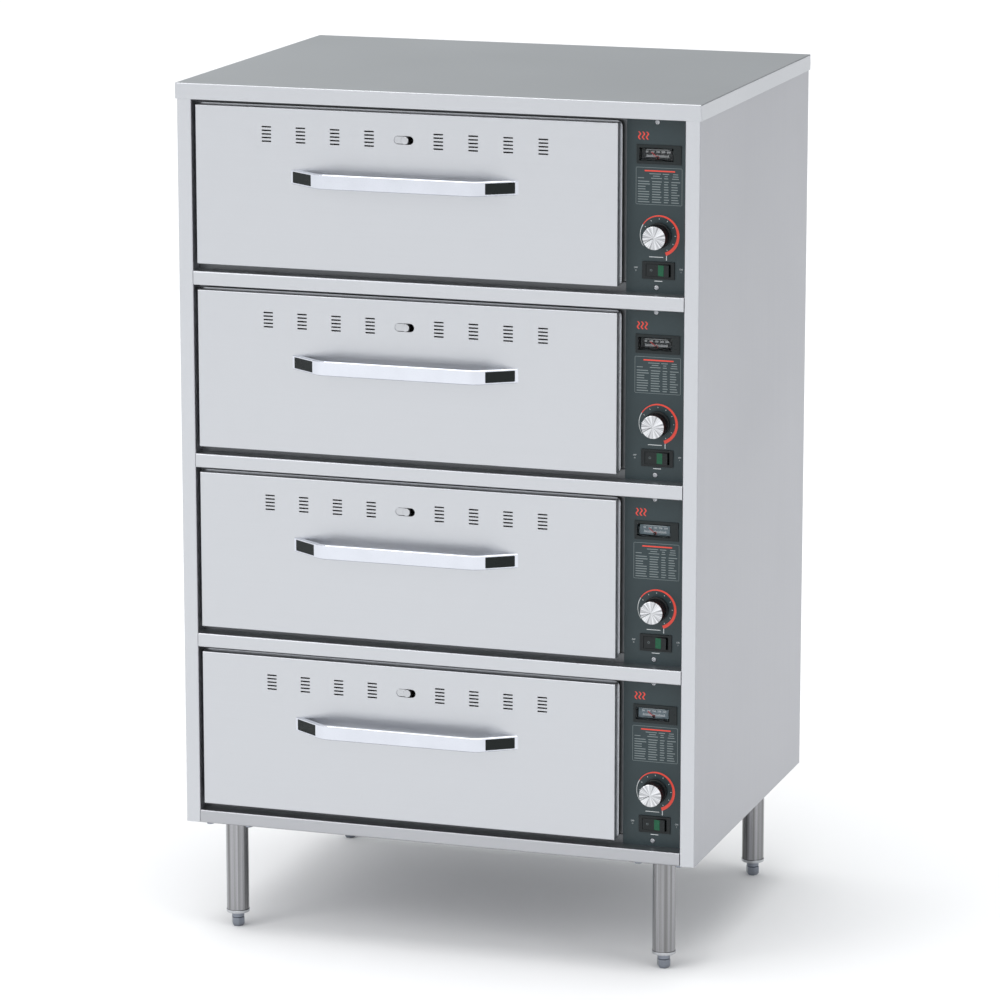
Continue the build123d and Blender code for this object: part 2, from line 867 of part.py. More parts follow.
def thermostat_knob():
    """Knob with a skirt, a faceted grip and a pointer line, on the shaft it is pressed on."""
    back = bezel_y - knob_gap
    face = back - knob_height
    grip_plane = front_plane(back - knob_skirt)
    with BuildPart() as knob:
        with BuildSketch(grip_plane):
            with Locations((knob_x, knob_z)):
                RegularPolygon(knob_radius - knob_step, grip_sides)
        extrude(amount=knob_height - knob_skirt)
        draft(knob.faces().filter_by(Axis.Y, reverse=True), grip_plane, knob_draft)
        chamfer(knob.faces().sort_by(Axis.Y)[0].edges(), length=knob_edge)
        with BuildSketch(front_plane(face)):
            with Locations(Location((knob_x, knob_z), pointer_line_angle)):
                with Locations(((pointer_line_start + knob_radius) / 2, 0)):
                    Rectangle(knob_radius - pointer_line_start, pointer_line_width)
        extrude(amount=-pointer_line_depth, mode=Mode.SUBTRACT)
        with BuildSketch(front_plane(back)):
            with Locations((knob_x, knob_z)):
                RegularPolygon(knob_radius, grip_sides)
        extrude(amount=knob_skirt)
        with BuildSketch(front_plane(back)):
            with Locations((knob_x, knob_z)):
                RegularPolygon(shaft_radius, pin_sides)
        extrude(amount=-(knob_gap + sheet + shaft_tail))
    return knob.part


def switch_housing():
    """Rocker switch body with its bezel, the well the rocker tips in, and the pivot pin."""
    body_half = (switch_width / 2 - switch_body_edge, switch_height / 2 - switch_body_edge)
    well = (rocker_width + 2 * rocker_side_gap, rocker_height + 2 * rocker_end_gap)
    with BuildPart() as housing:
        with BuildSketch(front_plane(bezel_y)):
            with Locations((switch_x, switch_z)):
                Rectangle(switch_width, switch_height)
        extrude(amount=switch_flange)
        block(
            (switch_x - body_half[0], bezel_y, switch_z - body_half[1]),
            (switch_x + body_half[0], bezel_y + switch_body_depth, switch_z + body_half[1]),
        )
        with BuildSketch(front_plane(bezel_y - switch_flange)):
            with Locations((switch_x, switch_z)):
                Rectangle(*well)
        extrude(amount=-rocker_well, mode=Mode.SUBTRACT)
        with BuildSketch(Plane.XY.offset(switch_z - well[1] / 2)):
            with Locations((switch_x, rocker_pivot_y)):
                RegularPolygon(rocker_pin_radius, pin_sides)
        extrude(amount=well[1])
    return housing.part


def power_rocker():
    """Rocker with a shallow V face, tipped to its off side about the pin it turns on."""
    half = rocker_width / 2
    outline = [
        (-half, -rocker_rise),
        (0, rocker_dip - rocker_rise),
        (half, -rocker_rise),
        (half - rocker_dip, rocker_pin_radius),
        (rocker_rise, rocker_rise - rocker_dip + axle_gap),
        (-rocker_rise, rocker_rise - rocker_dip + axle_gap),
        (rocker_dip - half, rocker_pin_radius),
    ]
    rocker_plane = Plane.XY.offset(switch_z - rocker_height / 2)
    with BuildPart() as rocker:
        with BuildSketch(rocker_plane):
            with Locations(Location((switch_x, rocker_pivot_y), -rocker_tilt)):
                Polygon(*outline, align=None)
            with Locations((switch_x, rocker_pivot_y)):
                RegularPolygon(
                    rocker_pin_radius + axle_gap, pin_sides, major_radius=False, mode=Mode.SUBTRACT
                )
        extrude(amount=rocker_height)
    return rocker.part


# ---------------------------------------------------------------- legs and fasteners


def legs():
    """Four round legs, each with a welded top plate, a collar and the bore for its foot's stem."""
    collar_top = foot_height + collar_height
    plate_low = leg_height - leg_plate_thickness
    with BuildPart() as stand:
        with BuildSketch(Plane.XY.offset(plate_low)):
            with Locations(*leg_places):
                Rectangle(leg_plate, leg_plate)
        extrude(amount=leg_plate_thickness)
        with BuildSketch(Plane.XY.offset(collar_top)):
            with Locations(*leg_places):
                Circle(leg_radius)
        extrude(amount=plate_low - collar_top)
        with BuildSketch(Plane.XY.offset(foot_height)):
            with Locations(*leg_places):
                Circle(leg_radius - collar_step)
        extrude(amount=collar_height)
        with BuildSketch(Plane.XY.offset(foot_height)):
            with Locations(*leg_places):
                RegularPolygon(foot_stem_radius + foot_stem_gap, pin_sides, major_radius=False)
        extrude(amount=foot_stem_length + collar_height, mode=Mode.SUBTRACT)
    write_node(stand.part, "legs")


def levelling_foot(place):
    """Bullet foot: hexagon for a spanner, a rounded toe, and the threaded stem."""
    with BuildPart() as foot:
        with BuildSketch(Plane.XY.offset(foot_height)):
            with Locations(place):
                RegularPolygon(foot_radius, 6)
        extrude(amount=-foot_hex)
        with BuildSketch(Plane.XY.offset(foot_height - foot_hex)):
            with Locations(place):
                RegularPolygon(foot_radius - collar_step, round_sides)
        extrude(amount=foot_hex - foot_height)
        sole = foot.faces().sort_by(Axis.Z)[0]
        chamfer(sole.edges(), length=foot_toe_inset, length2=foot_toe_height, reference=sole)
        with BuildSketch(Plane.XY.offset(foot_height)):
            with Locations(place):
                RegularPolygon(foot_stem_radius, pin_sides)
        extrude(amount=foot_stem_length)
    return foot.part


def fasteners():
    """Heads of the leg bolts, the back panel's screws and the control panels' screws."""
    bolt_offsets = (-bolt_spacing / 2, bolt_spacing / 2)
    bolt_places = [(x + i, y + j) for x, y in leg_places for i in bolt_offsets for j in bolt_offsets]
    screw_x = cabinet_width / 2 - screw_edge
    screw_low = leg_height + 2 * screw_edge
    screw_high = cabinet_top - lid_skirt - 2 * screw_edge
    step = (screw_high - screw_low) / (back_screws_each_side - 1)
    rear_places = [
        (side * screw_x, screw_low + i * step) for side in (-1, 1) for i in range(back_screws_each_side)
    ]
    panel_x = panel_left + panel_screw_offset
    panel_places = [
        (panel_x, level + z)
        for level in levels
        for z in (panel_screw_bottom, opening_height - panel_screw_top)
    ]
    with BuildPart() as heads:
        with BuildSketch(Plane.XY.offset(leg_height - leg_plate_thickness)):
            with Locations(*bolt_places):
                RegularPolygon(bolt_width / 2, 6, major_radius=False)
        extrude(amount=-bolt_height)
        with BuildSketch(front_plane(back_y + back_sheet)):
            with Locations(*rear_places):
                RegularPolygon(screw_radius, pin_sides)
        extrude(amount=-screw_height)
        with BuildSketch(front_plane(bezel_y)):
            with Locations(*panel_places):
                RegularPolygon(screw_radius, pin_sides)
        extrude(amount=screw_height)
    write_node(heads.part, "fasteners")


os.makedirs("parts", exist_ok=True)
side_panels()
front_rails()
top_cover()
base_panel()
back_panel()
cord_bushing()
legs()
fasteners()
for number, place in enumerate(leg_places, start=1):
    write_node(levelling_foot(place), f"levelling_foot_{number}")

at_levels(cavity_liner(), "cavity_liners")
at_levels(heating_element(), "heating_elements")
at_levels(cabinet_slide(), "cabinet_slides")
at_levels(control_panel(), "control_panels")
at_levels(gauge_case(), "gauge_cases")
at_levels(gauge_lens(), "gauge_lenses")
at_levels(thermostat_body(), "thermostat_bodies")
at_levels(switch_housing(), "switch_housings")

drawer_pieces = {
    "drawer_front": drawer_front(),
    "drawer_frame": drawer_frame(),
    "drawer_handle": drawer_handle(),
    "vent_damper": vent_damper(),
    "food_pan": food_pan(),
    "front_rollers": roller_pair(front_roller_y),
    "rear_rollers": roller_pair(rear_roller_y),
    "gauge_pointer": gauge_pointer(),
    "thermostat_knob": thermostat_knob(),
    "power_rocker": power_rocker(),
}
for number, level in enumerate(levels, start=1):
    for name, piece in drawer_pieces.items():
        with BuildPart() as placed:
            with Locations((0, 0, level)):
                add(piece)
        write_node(placed.part, f"{name}_{number}")
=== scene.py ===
import math

import bmesh
import bpy
from mathutils import Matrix, Vector


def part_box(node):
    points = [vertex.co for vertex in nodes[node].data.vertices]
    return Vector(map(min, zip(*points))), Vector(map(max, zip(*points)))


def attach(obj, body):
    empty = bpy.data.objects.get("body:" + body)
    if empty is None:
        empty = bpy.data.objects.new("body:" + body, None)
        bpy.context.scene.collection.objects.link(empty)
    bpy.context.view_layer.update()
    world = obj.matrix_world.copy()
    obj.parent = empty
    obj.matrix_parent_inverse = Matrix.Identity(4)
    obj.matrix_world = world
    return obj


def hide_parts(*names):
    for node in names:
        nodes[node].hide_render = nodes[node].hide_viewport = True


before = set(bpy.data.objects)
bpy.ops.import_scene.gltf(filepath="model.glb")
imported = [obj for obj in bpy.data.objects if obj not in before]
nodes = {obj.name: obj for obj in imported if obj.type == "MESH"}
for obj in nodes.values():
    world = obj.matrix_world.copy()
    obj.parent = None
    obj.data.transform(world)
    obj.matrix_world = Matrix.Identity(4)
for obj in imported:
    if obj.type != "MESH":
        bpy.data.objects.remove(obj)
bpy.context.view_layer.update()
MM = 0.001
units = range(1, 5)

# ------------------------------------------------------------ studio
# A pale floor without an edge, a wide soft light from the front left, a weaker one from the right,
# a soft sun overhead, and a sky that is bright before the cabinet and greyer behind it, as in a
# product studio.

bpy.context.scene.view_settings.view_transform = "Standard"

camera_place = Vector((2.0966, -6.3977, 2.0659))
camera_azimuth = math.radians(18.103)
camera_drop = math.radians(12.311)
photo_focal = 4.8403  # focal length in photograph widths
sensor = 36.0

level_look = Vector((-math.sin(camera_azimuth), math.cos(camera_azimuth), 0))
look = level_look * math.cos(camera_drop) - Vector((0, 0, math.sin(camera_drop)))


def placed(name, data):
    """New object in the scene."""
    made = bpy.data.objects.new(name, data)
    bpy.context.scene.collection.objects.link(made)
    return made


camera_data = bpy.data.cameras.new("camera")
camera_data.sensor_width = sensor
camera_data.lens = sensor * photo_focal
camera = placed("camera", camera_data)
camera.location = camera_place
camera.rotation_euler = look.to_track_quat("-Z", "Y").to_euler()
bpy.context.scene.camera = camera


def plain_material(name, colour, roughness, metallic=0.0):
    """Material with its shader's own values set, and its nodes and links ready for a pattern."""
    material = bpy.data.materials.new(name)
    material.use_nodes = True
    shader = material.node_tree.nodes["Principled BSDF"]
    shader.inputs["Base Color"].default_value = (*colour, 1)
    shader.inputs["Roughness"].default_value = roughness
    shader.inputs["Metallic"].default_value = metallic
    return material, shader


def lamp(name, kind, place, target, size, power):
    """A soft lamp that faces a target: a square panel, or a sun whose size is an angle."""
    data = bpy.data.lights.new(name, kind)
    data.energy = power
    if kind == "SUN":
        data.angle = size
    else:
        data.size = size
    light = placed(name, data)
    light.location = place
    light.rotation_euler = (Vector(target) - Vector(place)).to_track_quat("-Z", "Y").to_euler()


def node_with(tree, kind, inputs=(), **settings):
    """New node with its settings, and then the values of its inputs, set."""
    made = tree.nodes.new(kind)
    for title, value in settings.items():
        setattr(made, title, value)
    for title, value in dict(inputs).items():
        made.inputs[title].default_value = value
    return made


def wire(tree, *links):
    """Joins sockets of a node tree; a link is a node, its output, a node and its input."""
    for source, out, target, into in links:
        tree.links.new(source.outputs[out], target.inputs[into])


cabinet_middle = (0, 0, 0.7)
lamp("key_light", "AREA", (-3.5, -5.0, 4.5), cabinet_middle, 3.0, 80)
lamp("fill_light", "AREA", (5.0, -2.5, 3.0), cabinet_middle, 2.0, 30)
lamp("top_light", "SUN", (0, 0, 6.0), (0, 0, 0), math.radians(50), 1.3)

floor_half = 30
floor_mesh = bpy.data.meshes.new("floor")
floor_signs = ((-1, -1), (1, -1), (1, 1), (-1, 1))
floor_corners = [(x * floor_half, y * floor_half, 0) for x, y in floor_signs]
floor_mesh.from_pydata(floor_corners, [], [(0, 1, 2, 3)])
floor_material, _ = plain_material("floor_paper", (0.93, 0.93, 0.93), 0.9)
floor_mesh.materials.append(floor_material)
floor = placed("floor", floor_mesh)

world = bpy.data.worlds.new("studio")
world.use_nodes = True
bpy.context.scene.world = world
sky_tree = world.node_tree
sky = sky_tree.nodes
direction = sky.new("ShaderNodeTexCoord")
rearward = {1: (0.5, 0.87, 0)}
towards = node_with(sky_tree, "ShaderNodeVectorMath", rearward, operation="DOT_PRODUCT")
fade = sky.new("ShaderNodeValToRGB")
fade.color_ramp.elements[0].position = 0.30
fade.color_ramp.elements[0].color = (1.02, 1.03, 1.05, 1)
fade.color_ramp.elements[1].position = 0.97
fade.color_ramp.elements[1].color = (0.22, 0.23, 0.24, 1)
turning_grey = fade.color_ramp.elements.new(0.80)
turning_grey.color = (0.50, 0.52, 0.53, 1)
halves = {1: 0.5, 2: 0.5}
centre_direction = node_with(sky_tree, "ShaderNodeMath", halves, operation="MULTIPLY_ADD")
wire(
    sky_tree,
    (direction, "Generated", towards, 0),
    (towards, "Value", centre_direction, 0),
    (centre_direction, 0, fade, 0),
    (fade, "Color", sky["Background"], "Color"),
)
sky["Background"].inputs["Strength"].default_value = 1.0

# ------------------------------------------------------------ cabinet skins
# Folded sheets of satin stainless steel: the lid with its skirt, the two sides with their front
# stiles, the rails between the drawers and the base. Bends are round and cut edges are eased. The
# one steel is tinted by part as painted light and shade: lighter on the lid's top, darker on the
# sides and the base.


def patterned(tree, pattern, tint, tones, shines):
    """Lets a pattern's value set how dark and how rough a surface is, between two shares of each."""
    shader = tree.nodes["Principled BSDF"]
    limits = {"From Min": 0.3, "From Max": 0.7, "To Min": shines[0], "To Max": shines[1]}
    polish = node_with(tree, "ShaderNodeMapRange", limits)
    dark = (*(tones[0] * c for c in tint), 1)
    light = (*(min(tones[1] * c, 1.0) for c in tint), 1)
    shade = node_with(tree, "ShaderNodeMix", {"A": dark, "B": light}, data_type="RGBA")
    tree.links.new(pattern, polish.inputs["Value"])
    tree.links.new(pattern, shade.inputs["Factor"])
    wire(tree, (polish, "Result", shader, "Roughness"), (shade, "Result", shader, "Base Color"))


def raised(tree, pattern, strength, depth):
    """Lets a pattern's value set a fine relief; its depth is in millimetres."""
    relief = node_with(tree, "ShaderNodeBump", {"Strength": strength, "Distance": depth * MM})
    shader = tree.nodes["Principled BSDF"]
    wire(tree, (pattern, "Fac", relief, "Height"), (relief, "Normal", shader, "Normal"))


def satin_steel(name, tint, grain, roughness=0.34, depth=0.02):
    """Brushed steel. The grain runs along the axis whose scale is the small one."""
    material, _ = plain_material(name, tint, roughness, 1.0)
    tree = material.node_tree
    place = tree.nodes.new("ShaderNodeTexCoord")
    stretch = node_with(tree, "ShaderNodeMapping", {"Scale": grain})
    lines = node_with(tree, "ShaderNodeTexNoise", {"Scale": 1.0, "Detail": 3.0})
    clouds = node_with(tree, "ShaderNodeTexNoise", {"Scale": 3.5, "Detail": 4.0})
    mixed = node_with(tree, "ShaderNodeMix", {"Factor": 0.35}, data_type="FLOAT")
    wire(
        tree,
        (place, "Object", stretch, "Vector"),
        (stretch, "Vector", lines, "Vector"),
        (place, "Object", clouds, "Vector"),
        (lines, "Fac", mixed, "A"),
        (clouds, "Fac", mixed, "B"),
    )
    shines = (roughness - 0.05, roughness + 0.06)
    patterned(tree, mixed.outputs["Result"], tint, (0.95, 1.03), shines)
    raised(tree, lines, 0.25, depth)
    return material


def finished(name, mesh, material, body, slot, *replaced):
    """A mesh as one piece of the object: it rides on a body and may stand for CAD nodes."""
    if material:
        mesh.materials.clear()
        mesh.materials.append(material)
    piece = placed(name, mesh)
    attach(piece, body)
    if replaced:
        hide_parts(*replaced)


def evaluated(draft):
    """Plain mesh of an object with its modifiers applied; the object itself is removed."""
    bpy.context.scene.collection.objects.link(draft)
    graph = bpy.context.evaluated_depsgraph_get()
    mesh = bpy.data.meshes.new_from_object(draft.evaluated_get(graph), depsgraph=graph)
    mesh.name = draft.name
    bpy.data.objects.remove(draft)
    return mesh


def eased(node, name, edge, facet):
    """Mesh of a CAD piece with its facets merged, its sharp edges rounded and its bends smooth."""
    source = nodes[node].data.copy()
    shape = bmesh.new()
    shape.from_mesh(source)
    bmesh.ops.remove_doubles(shape, verts=shape.verts, dist=0.002 * MM)
    bmesh.ops.dissolve_limit(
        shape, angle_limit=math.radians(0.5), verts=shape.verts, edges=shape.edges
    )
    shape.to_mesh(source)
    shape.free()
    source.materials.clear()
    source.shade_smooth()
    draft = bpy.data.objects.new(name, source)
    bevel = draft.modifiers.new("eased_edges", "BEVEL")
    bevel.width = edge * MM
    bevel.segments = 2
    bevel.limit_method = "ANGLE"
    bevel.angle_limit = math.radians(facet)
    flats = draft.modifiers.new("flat_faces", "WEIGHTED_NORMAL")
    flats.mode = "FACE_AREA"
    flats.weight = 100
    return evaluated(draft)


def from_cad(name, node, edge, material, body, slot, facet=30.0):
    """Finished piece made from a CAD piece, which it replaces."""
    finished(name, eased(node, name, edge, facet), material, body, slot, node)


along_x = (5, 1400, 1400)
along_z = (1400, 1400, 5)
sheet_edge = 0.35
# Copies of one steel: the lid's lighter tint and the darker tints of the sides and base are painted
# light and shade.
front_steel = satin_steel("satin_steel_front", (0.535, 0.547, 0.570), along_x)
lid_steel_painted_light = satin_steel("satin_steel_lid", (0.60, 0.615, 0.63), along_x)
stile_steel = satin_steel("satin_steel_stile", (0.545, 0.557, 0.580), along_z)
side_steel_painted_shade = satin_steel("satin_steel_side", (0.455, 0.46, 0.485), along_z, 0.42)
base_steel_painted_shade = satin_steel("satin_steel_base", (0.42, 0.426, 0.446), along_x)
back_steel = satin_steel("satin_steel_back", (0.55, 0.55, 0.56), along_z, 0.40)

for node, steel, slot in (
    ("front_rails", front_steel, "stainless"),
    ("base_panel", base_steel_painted_shade, "stainless"),
    ("back_panel", back_steel, "stainless_inner"),
):
    from_cad(node + "_skin", node, sheet_edge, steel, "cabinet", slot)
wide_face = 0.7
# Faces that face along the axis, the lid's top and the broad sides, take the other tint as painted
# light and shade.
for node, edge_steel, painted_light_shade_steel, axis in (
    ("top_cover", front_steel, lid_steel_painted_light, 2),
    ("side_panels", stile_steel, side_steel_painted_shade, 0),
):
    skin = eased(node, node + "_skin", sheet_edge, 30)
    skin.materials.append(edge_steel)
    skin.materials.append(painted_light_shade_steel)
    for face in skin.polygons:
        face.material_index = int(abs(face.normal[axis]) > wide_face)
    finished(node + "_skin", skin, None, "cabinet", "stainless", node)

# ------------------------------------------------------------ legs
# Round stainless tubes, polished along their length, each welded to a square plate at its top. Their
# colour is darkened and streaked dark and light along their length as painted reflection. The weld
# is a ring of overlapping beads, and a collar is pressed on at the bottom.


def facing_along(direction):
    """Turn that brings the Z axis round to a direction."""
    return Vector(direction).to_track_quat("Z", "Y").to_matrix().to_4x4()


def mesh_of(shape, name, crease=None):
    """Plain mesh of a shape, smooth up to a crease angle in degrees where there is one."""
    mesh = bpy.data.meshes.new(name)
    shape.to_mesh(mesh)
    shape.free()
    if crease:
        mesh.shade_smooth()
        mesh.set_sharp_from_angle(angle=math.radians(crease))
    return mesh


def turned(name, profile, sides=48, place=(0, 0, 0), along=(0, 0, 1), crease=35.0):
    """Lathe work: each point is a distance along the axis and a radius, in millimetres.

    A profile that comes back to its first point leaves its bore open.
    """
    shape = bmesh.new()
    rings = []
    for distance, radius in profile:
        count = sides if radius > 0 else 1
        ring = []
        for i in range(count):
            angle = 2 * math.pi * i / sides
            spot = Vector((radius * math.cos(angle), radius * math.sin(angle), distance))
            ring.append(shape.verts.new(spot * MM))
        rings.append(ring)
    hollow = profile[0] == profile[-1]
    if hollow:
        bmesh.ops.delete(shape, geom=rings.pop(), context="VERTS")
        rings.append(rings[0])
    for low, high in zip(rings, rings[1:]):
        for i in range(sides):
            j = (i + 1) % sides
            below = (low[i % len(low)], low[j % len(low)])
            above = (high[j % len(high)], high[i % len(high)])
            shape.faces.new(dict.fromkeys(below + above))
    for ring in (rings[0], rings[-1]):
        if len(ring) > 1 and not hollow:
            shape.faces.new(ring)
    bmesh.ops.recalc_face_normals(shape, faces=shape.faces)
    mesh = mesh_of(shape, name, crease)
    mesh.transform(Matrix.Translation(place) @ facing_along(along))
    return mesh


def joined(name, meshes):
    """Several meshes as one, with their materials kept."""
    drafts = [placed(name, mesh) for mesh in meshes]
    with bpy.context.temp_override(active_object=drafts[0], selected_editable_objects=drafts):
        bpy.ops.object.join()
    mesh = drafts[0].data
    mesh.name = name
    bpy.data.objects.remove(drafts[0])
    return mesh


def tree_with(name, **inputs):
    """Geometry Nodes tree with its named inputs, its group nodes and its output."""
    tree = bpy.data.node_groups.new(name, "GeometryNodeTree")
    tree.interface.new_socket("Geometry", in_out="INPUT", socket_type="NodeSocketGeometry")
    tree.interface.new_socket("Geometry", in_out="OUTPUT", socket_type="NodeSocketGeometry")
    for title, kind in inputs.items():
        tree.interface.new_socket(title, in_out="INPUT", socket_type="NodeSocket" + kind)
    return tree, tree.nodes.new("NodeGroupInput"), tree.nodes.new("NodeGroupOutput")


def close_tree(tree, inside, outside, instances):
    """Ends a tree: instances become real geometry and take the material."""
    real = tree.nodes.new("GeometryNodeRealizeInstances")
    coat = tree.nodes.new("GeometryNodeSetMaterial")
    wire(
        tree,
        (instances, "Instances", real, "Geometry"),
        (real, "Geometry", coat, "Geometry"),
        (inside, "Finish", coat, "Material"),
        (coat, "Geometry", outside, "Geometry"),
    )


def grown(name, base, tree, **values):
    """Plain mesh of a tree run on a base mesh, with its inputs set by name."""
    draft = bpy.data.objects.new(name, base)
    modifier = draft.modifiers.new("grown", "NODES")
    modifier.node_group = tree
    for item in tree.interface.items_tree:
        if item.in_out == "INPUT" and item.name in values:
            modifier[item.identifier] = values[item.name]
    return evaluated(draft)


ring_tree, ring_in, ring_out = tree_with(
    "ring_of_pieces",
    Count="Int",
    Radius="Float",
    Start="Float",
    Step="Float",
    Piece="Object",
    Finish="Material",
)
ring_points = ring_tree.nodes.new("GeometryNodePoints")
ring_index = ring_tree.nodes.new("GeometryNodeInputIndex")
ring_angle = node_with(ring_tree, "ShaderNodeMath", operation="MULTIPLY_ADD")
ring_spot = ring_tree.nodes.new("ShaderNodeCombineXYZ")
ring_spin = node_with(ring_tree, "ShaderNodeVectorRotate", rotation_type="Z_AXIS")
ring_turn = ring_tree.nodes.new("ShaderNodeCombineXYZ")
ring_piece = ring_tree.nodes.new("GeometryNodeObjectInfo")
ring_instances = ring_tree.nodes.new("GeometryNodeInstanceOnPoints")
wire(
    ring_tree,
    (ring_in, "Count", ring_points, "Count"),
    (ring_index, "Index", ring_angle, 0),
    (ring_in, "Step", ring_angle, 1),
    (ring_in, "Start", ring_angle, 2),
    (ring_in, "Radius", ring_spot, "X"),
    (ring_spot, "Vector", ring_spin, "Vector"),
    (ring_angle, "Value", ring_spin, "Angle"),
    (ring_angle, "Value", ring_turn, "Z"),
    (ring_spin, "Vector", ring_points, "Position"),
    (ring_in, "Piece", ring_piece, "Object"),
    (ring_points, "Points", ring_instances, "Points"),
    (ring_piece, "Geometry", ring_instances, "Instance"),
    (ring_turn, "Vector", ring_instances, "Rotation"),
)
close_tree(ring_tree, ring_in, ring_out, ring_instances)


def ring_of(name, mesh, material, count, radius, start=0.0, step=None):
    """A mesh repeated round the Z axis; the angles are in degrees."""
    piece = placed(name + "_one", mesh)
    made = grown(
        name,
        bpy.data.meshes.new(name + "_base"),
        ring_tree,
        Count=count,
        Radius=radius * MM,
        Start=math.radians(start),
        Step=math.radians(step or 360 / count),
        Piece=piece,
        Finish=material,
    )
    bpy.data.objects.remove(piece)
    return made


def grained(name, colour, roughness, scale, relief, spread=0.06, metallic=0.0, gloss=0.5):
    """Cast, moulded or painted surface: fine grain in its height, shine and shade."""
    material, shader = plain_material(name, colour, roughness, metallic)
    shader.inputs["Specular IOR Level"].default_value = gloss
    tree = material.node_tree
    place = tree.nodes.new("ShaderNodeTexCoord")
    grain = node_with(tree, "ShaderNodeTexNoise", {"Scale": scale, "Detail": 3.0})
    wire(tree, (place, "Object", grain, "Vector"))
    shines = (max(roughness - spread, 0.02), roughness + spread)
    patterned(tree, grain.outputs["Fac"], colour, (0.92, 1.06), shines)
    raised(tree, grain, 0.3, relief)
    return material


# The darker tint and the coarse dark and light streaks along each tube are painted reflection in the
# colour.
leg_steel = satin_steel("leg_steel", (0.33, 0.33, 0.325), (900, 900, 6), 0.2)
leg_tree = leg_steel.node_tree
reflection_streaks = node_with(leg_tree, "ShaderNodeTexNoise", {"Scale": 1.0, "Detail": 4.0})
reflection_streak_stretch = node_with(leg_tree, "ShaderNodeMapping", {"Scale": (150, 150, 0.8)})
reflection_streak_place = leg_tree.nodes.new("ShaderNodeTexCoord")
painted_reflection_ramp = leg_tree.nodes.new("ShaderNodeValToRGB")
painted_reflection_ramp.color_ramp.elements[0].position = 0.34
painted_reflection_ramp.color_ramp.elements[0].color = (0.12, 0.12, 0.115, 1)
painted_reflection_ramp.color_ramp.elements[1].position = 0.66
painted_reflection_ramp.color_ramp.elements[1].color = (0.44, 0.44, 0.46, 1)
wire(
    leg_tree,
    (reflection_streak_place, "Object", reflection_streak_stretch, "Vector"),
    (reflection_streak_stretch, "Vector", reflection_streaks, "Vector"),
    (reflection_streaks, "Fac", painted_reflection_ramp, "Fac"),
    (painted_reflection_ramp, "Color", leg_tree.nodes["Principled BSDF"], "Base Color"),
)
weld_steel = satin_steel("weld_steel", (0.50, 0.47, 0.42), (600, 600, 600), 0.38)
leg_x = 316.0
leg_rows = (-219.8, 250.2)
leg_radius = 16.0
leg_top = 160.0
bead_radius = 1.9
bead_count = 34
leg_places = [(x * MM, y * MM) for y in leg_rows for x in (-leg_x, leg_x)]

from_cad("leg_tubes", "legs", 0.6, leg_steel, "cabinet", "stainless", 40)
bead = turned(
    "bead",
    [(-bead_radius, 0), (-1.3, 1.3), (0, bead_radius), (1.3, 1.3), (bead_radius, 0)],
    sides=8,
    along=(0, 1, 0),
    crease=80,
)
weld = ring_of("weld", bead, weld_steel, bead_count, leg_radius)
welds = []
for x, y in leg_places:
    ring = weld.copy()
    ring.transform(Matrix.Translation((x, y, (leg_top - 1.0) * MM)))
    welds.append(ring)
finished("leg_welds", joined("leg_welds", welds), None, "cabinet", "stainless")

collar_steel = grained("collar_steel", (0.50, 0.51, 0.53), 0.22, 260, 0.01, metallic=1.0)
seam_black = grained("seam_black", (0.012, 0.012, 0.012), 0.6, 200, 0.01)
leg_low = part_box("legs")[0].z
collar_profile = [(0.2, 15.0), (0.2, 15.8), (0.9, 16.55), (4.2, 16.55), (4.6, 16.2), (4.6, 15.0)]
seam_profile = [(4.55, 15.0), (4.55, 16.12), (5.2, 16.12), (5.2, 15.0)]
for name, profile, material in (
    ("leg_collars", collar_profile, collar_steel),
    ("leg_seams", seam_profile, seam_black),
):
    closed = [*profile, profile[0]]
    rings = [turned(name, closed, 48, (x, y, leg_low)) for x, y in leg_places]
    finished(name, joined(name, rings), material, "cabinet", "stainless")

# ------------------------------------------------------------ levelling feet
# Zinc plated feet: a round neck under the leg's collar, a hexagon for the spanner whose chamfered
# toe stands on the floor, and a threaded stem that runs up inside the leg.

zinc = grained("zinc_plate", (0.25, 0.27, 0.31), 0.2, 220, 0.03, metallic=1.0)
stem_root = 20.9
neck_profile = [(13.5, 0), (13.5, 8.2), (14.2, 8.9), (20.3, 8.9), (stem_root, 8.3), (stem_root, 0)]
hexagon_profile = [(0, 0), (0, 6.8), (0.9, 7.6), (3.4, 9.5), (12.8, 9.6), (13.5, 8.6), (13.5, 0)]
stem_profile = [(stem_root, 0)]
thread_pitch = 1.5
thread_turns = 30
thread_root = 4.1
thread_crest = 4.6
for turn in range(thread_turns):
    base = stem_root + turn * thread_pitch
    stem_profile += [(base, thread_root), (base + thread_pitch / 2, thread_crest)]
stem_top = stem_root + thread_turns * thread_pitch
stem_profile += [(stem_top, thread_root), (stem_top, 0)]
for number, (x, y) in enumerate(leg_places, start=1):
    stand = (x, y, 0)
    foot = f"levelling_foot_{number}"
    parts = [
        turned("neck", neck_profile, 40, stand),
        turned("hexagon", hexagon_profile, 6, stand, crease=20),
        turned("stem", stem_profile, 20, stand, crease=20),
    ]
    finished(f"bullet_foot_{number}", joined(foot + "_turned", parts), zinc, foot, "foot", foot)

# ------------------------------------------------------------ cavities, slides and elements
# The heated boxes are plain stainless, their colour darkened to near black as painted shade. Their
# flanges show round each drawer.
# Channels with riveted axles are zinc plated, and the elements are sheathed in a dark alloy.

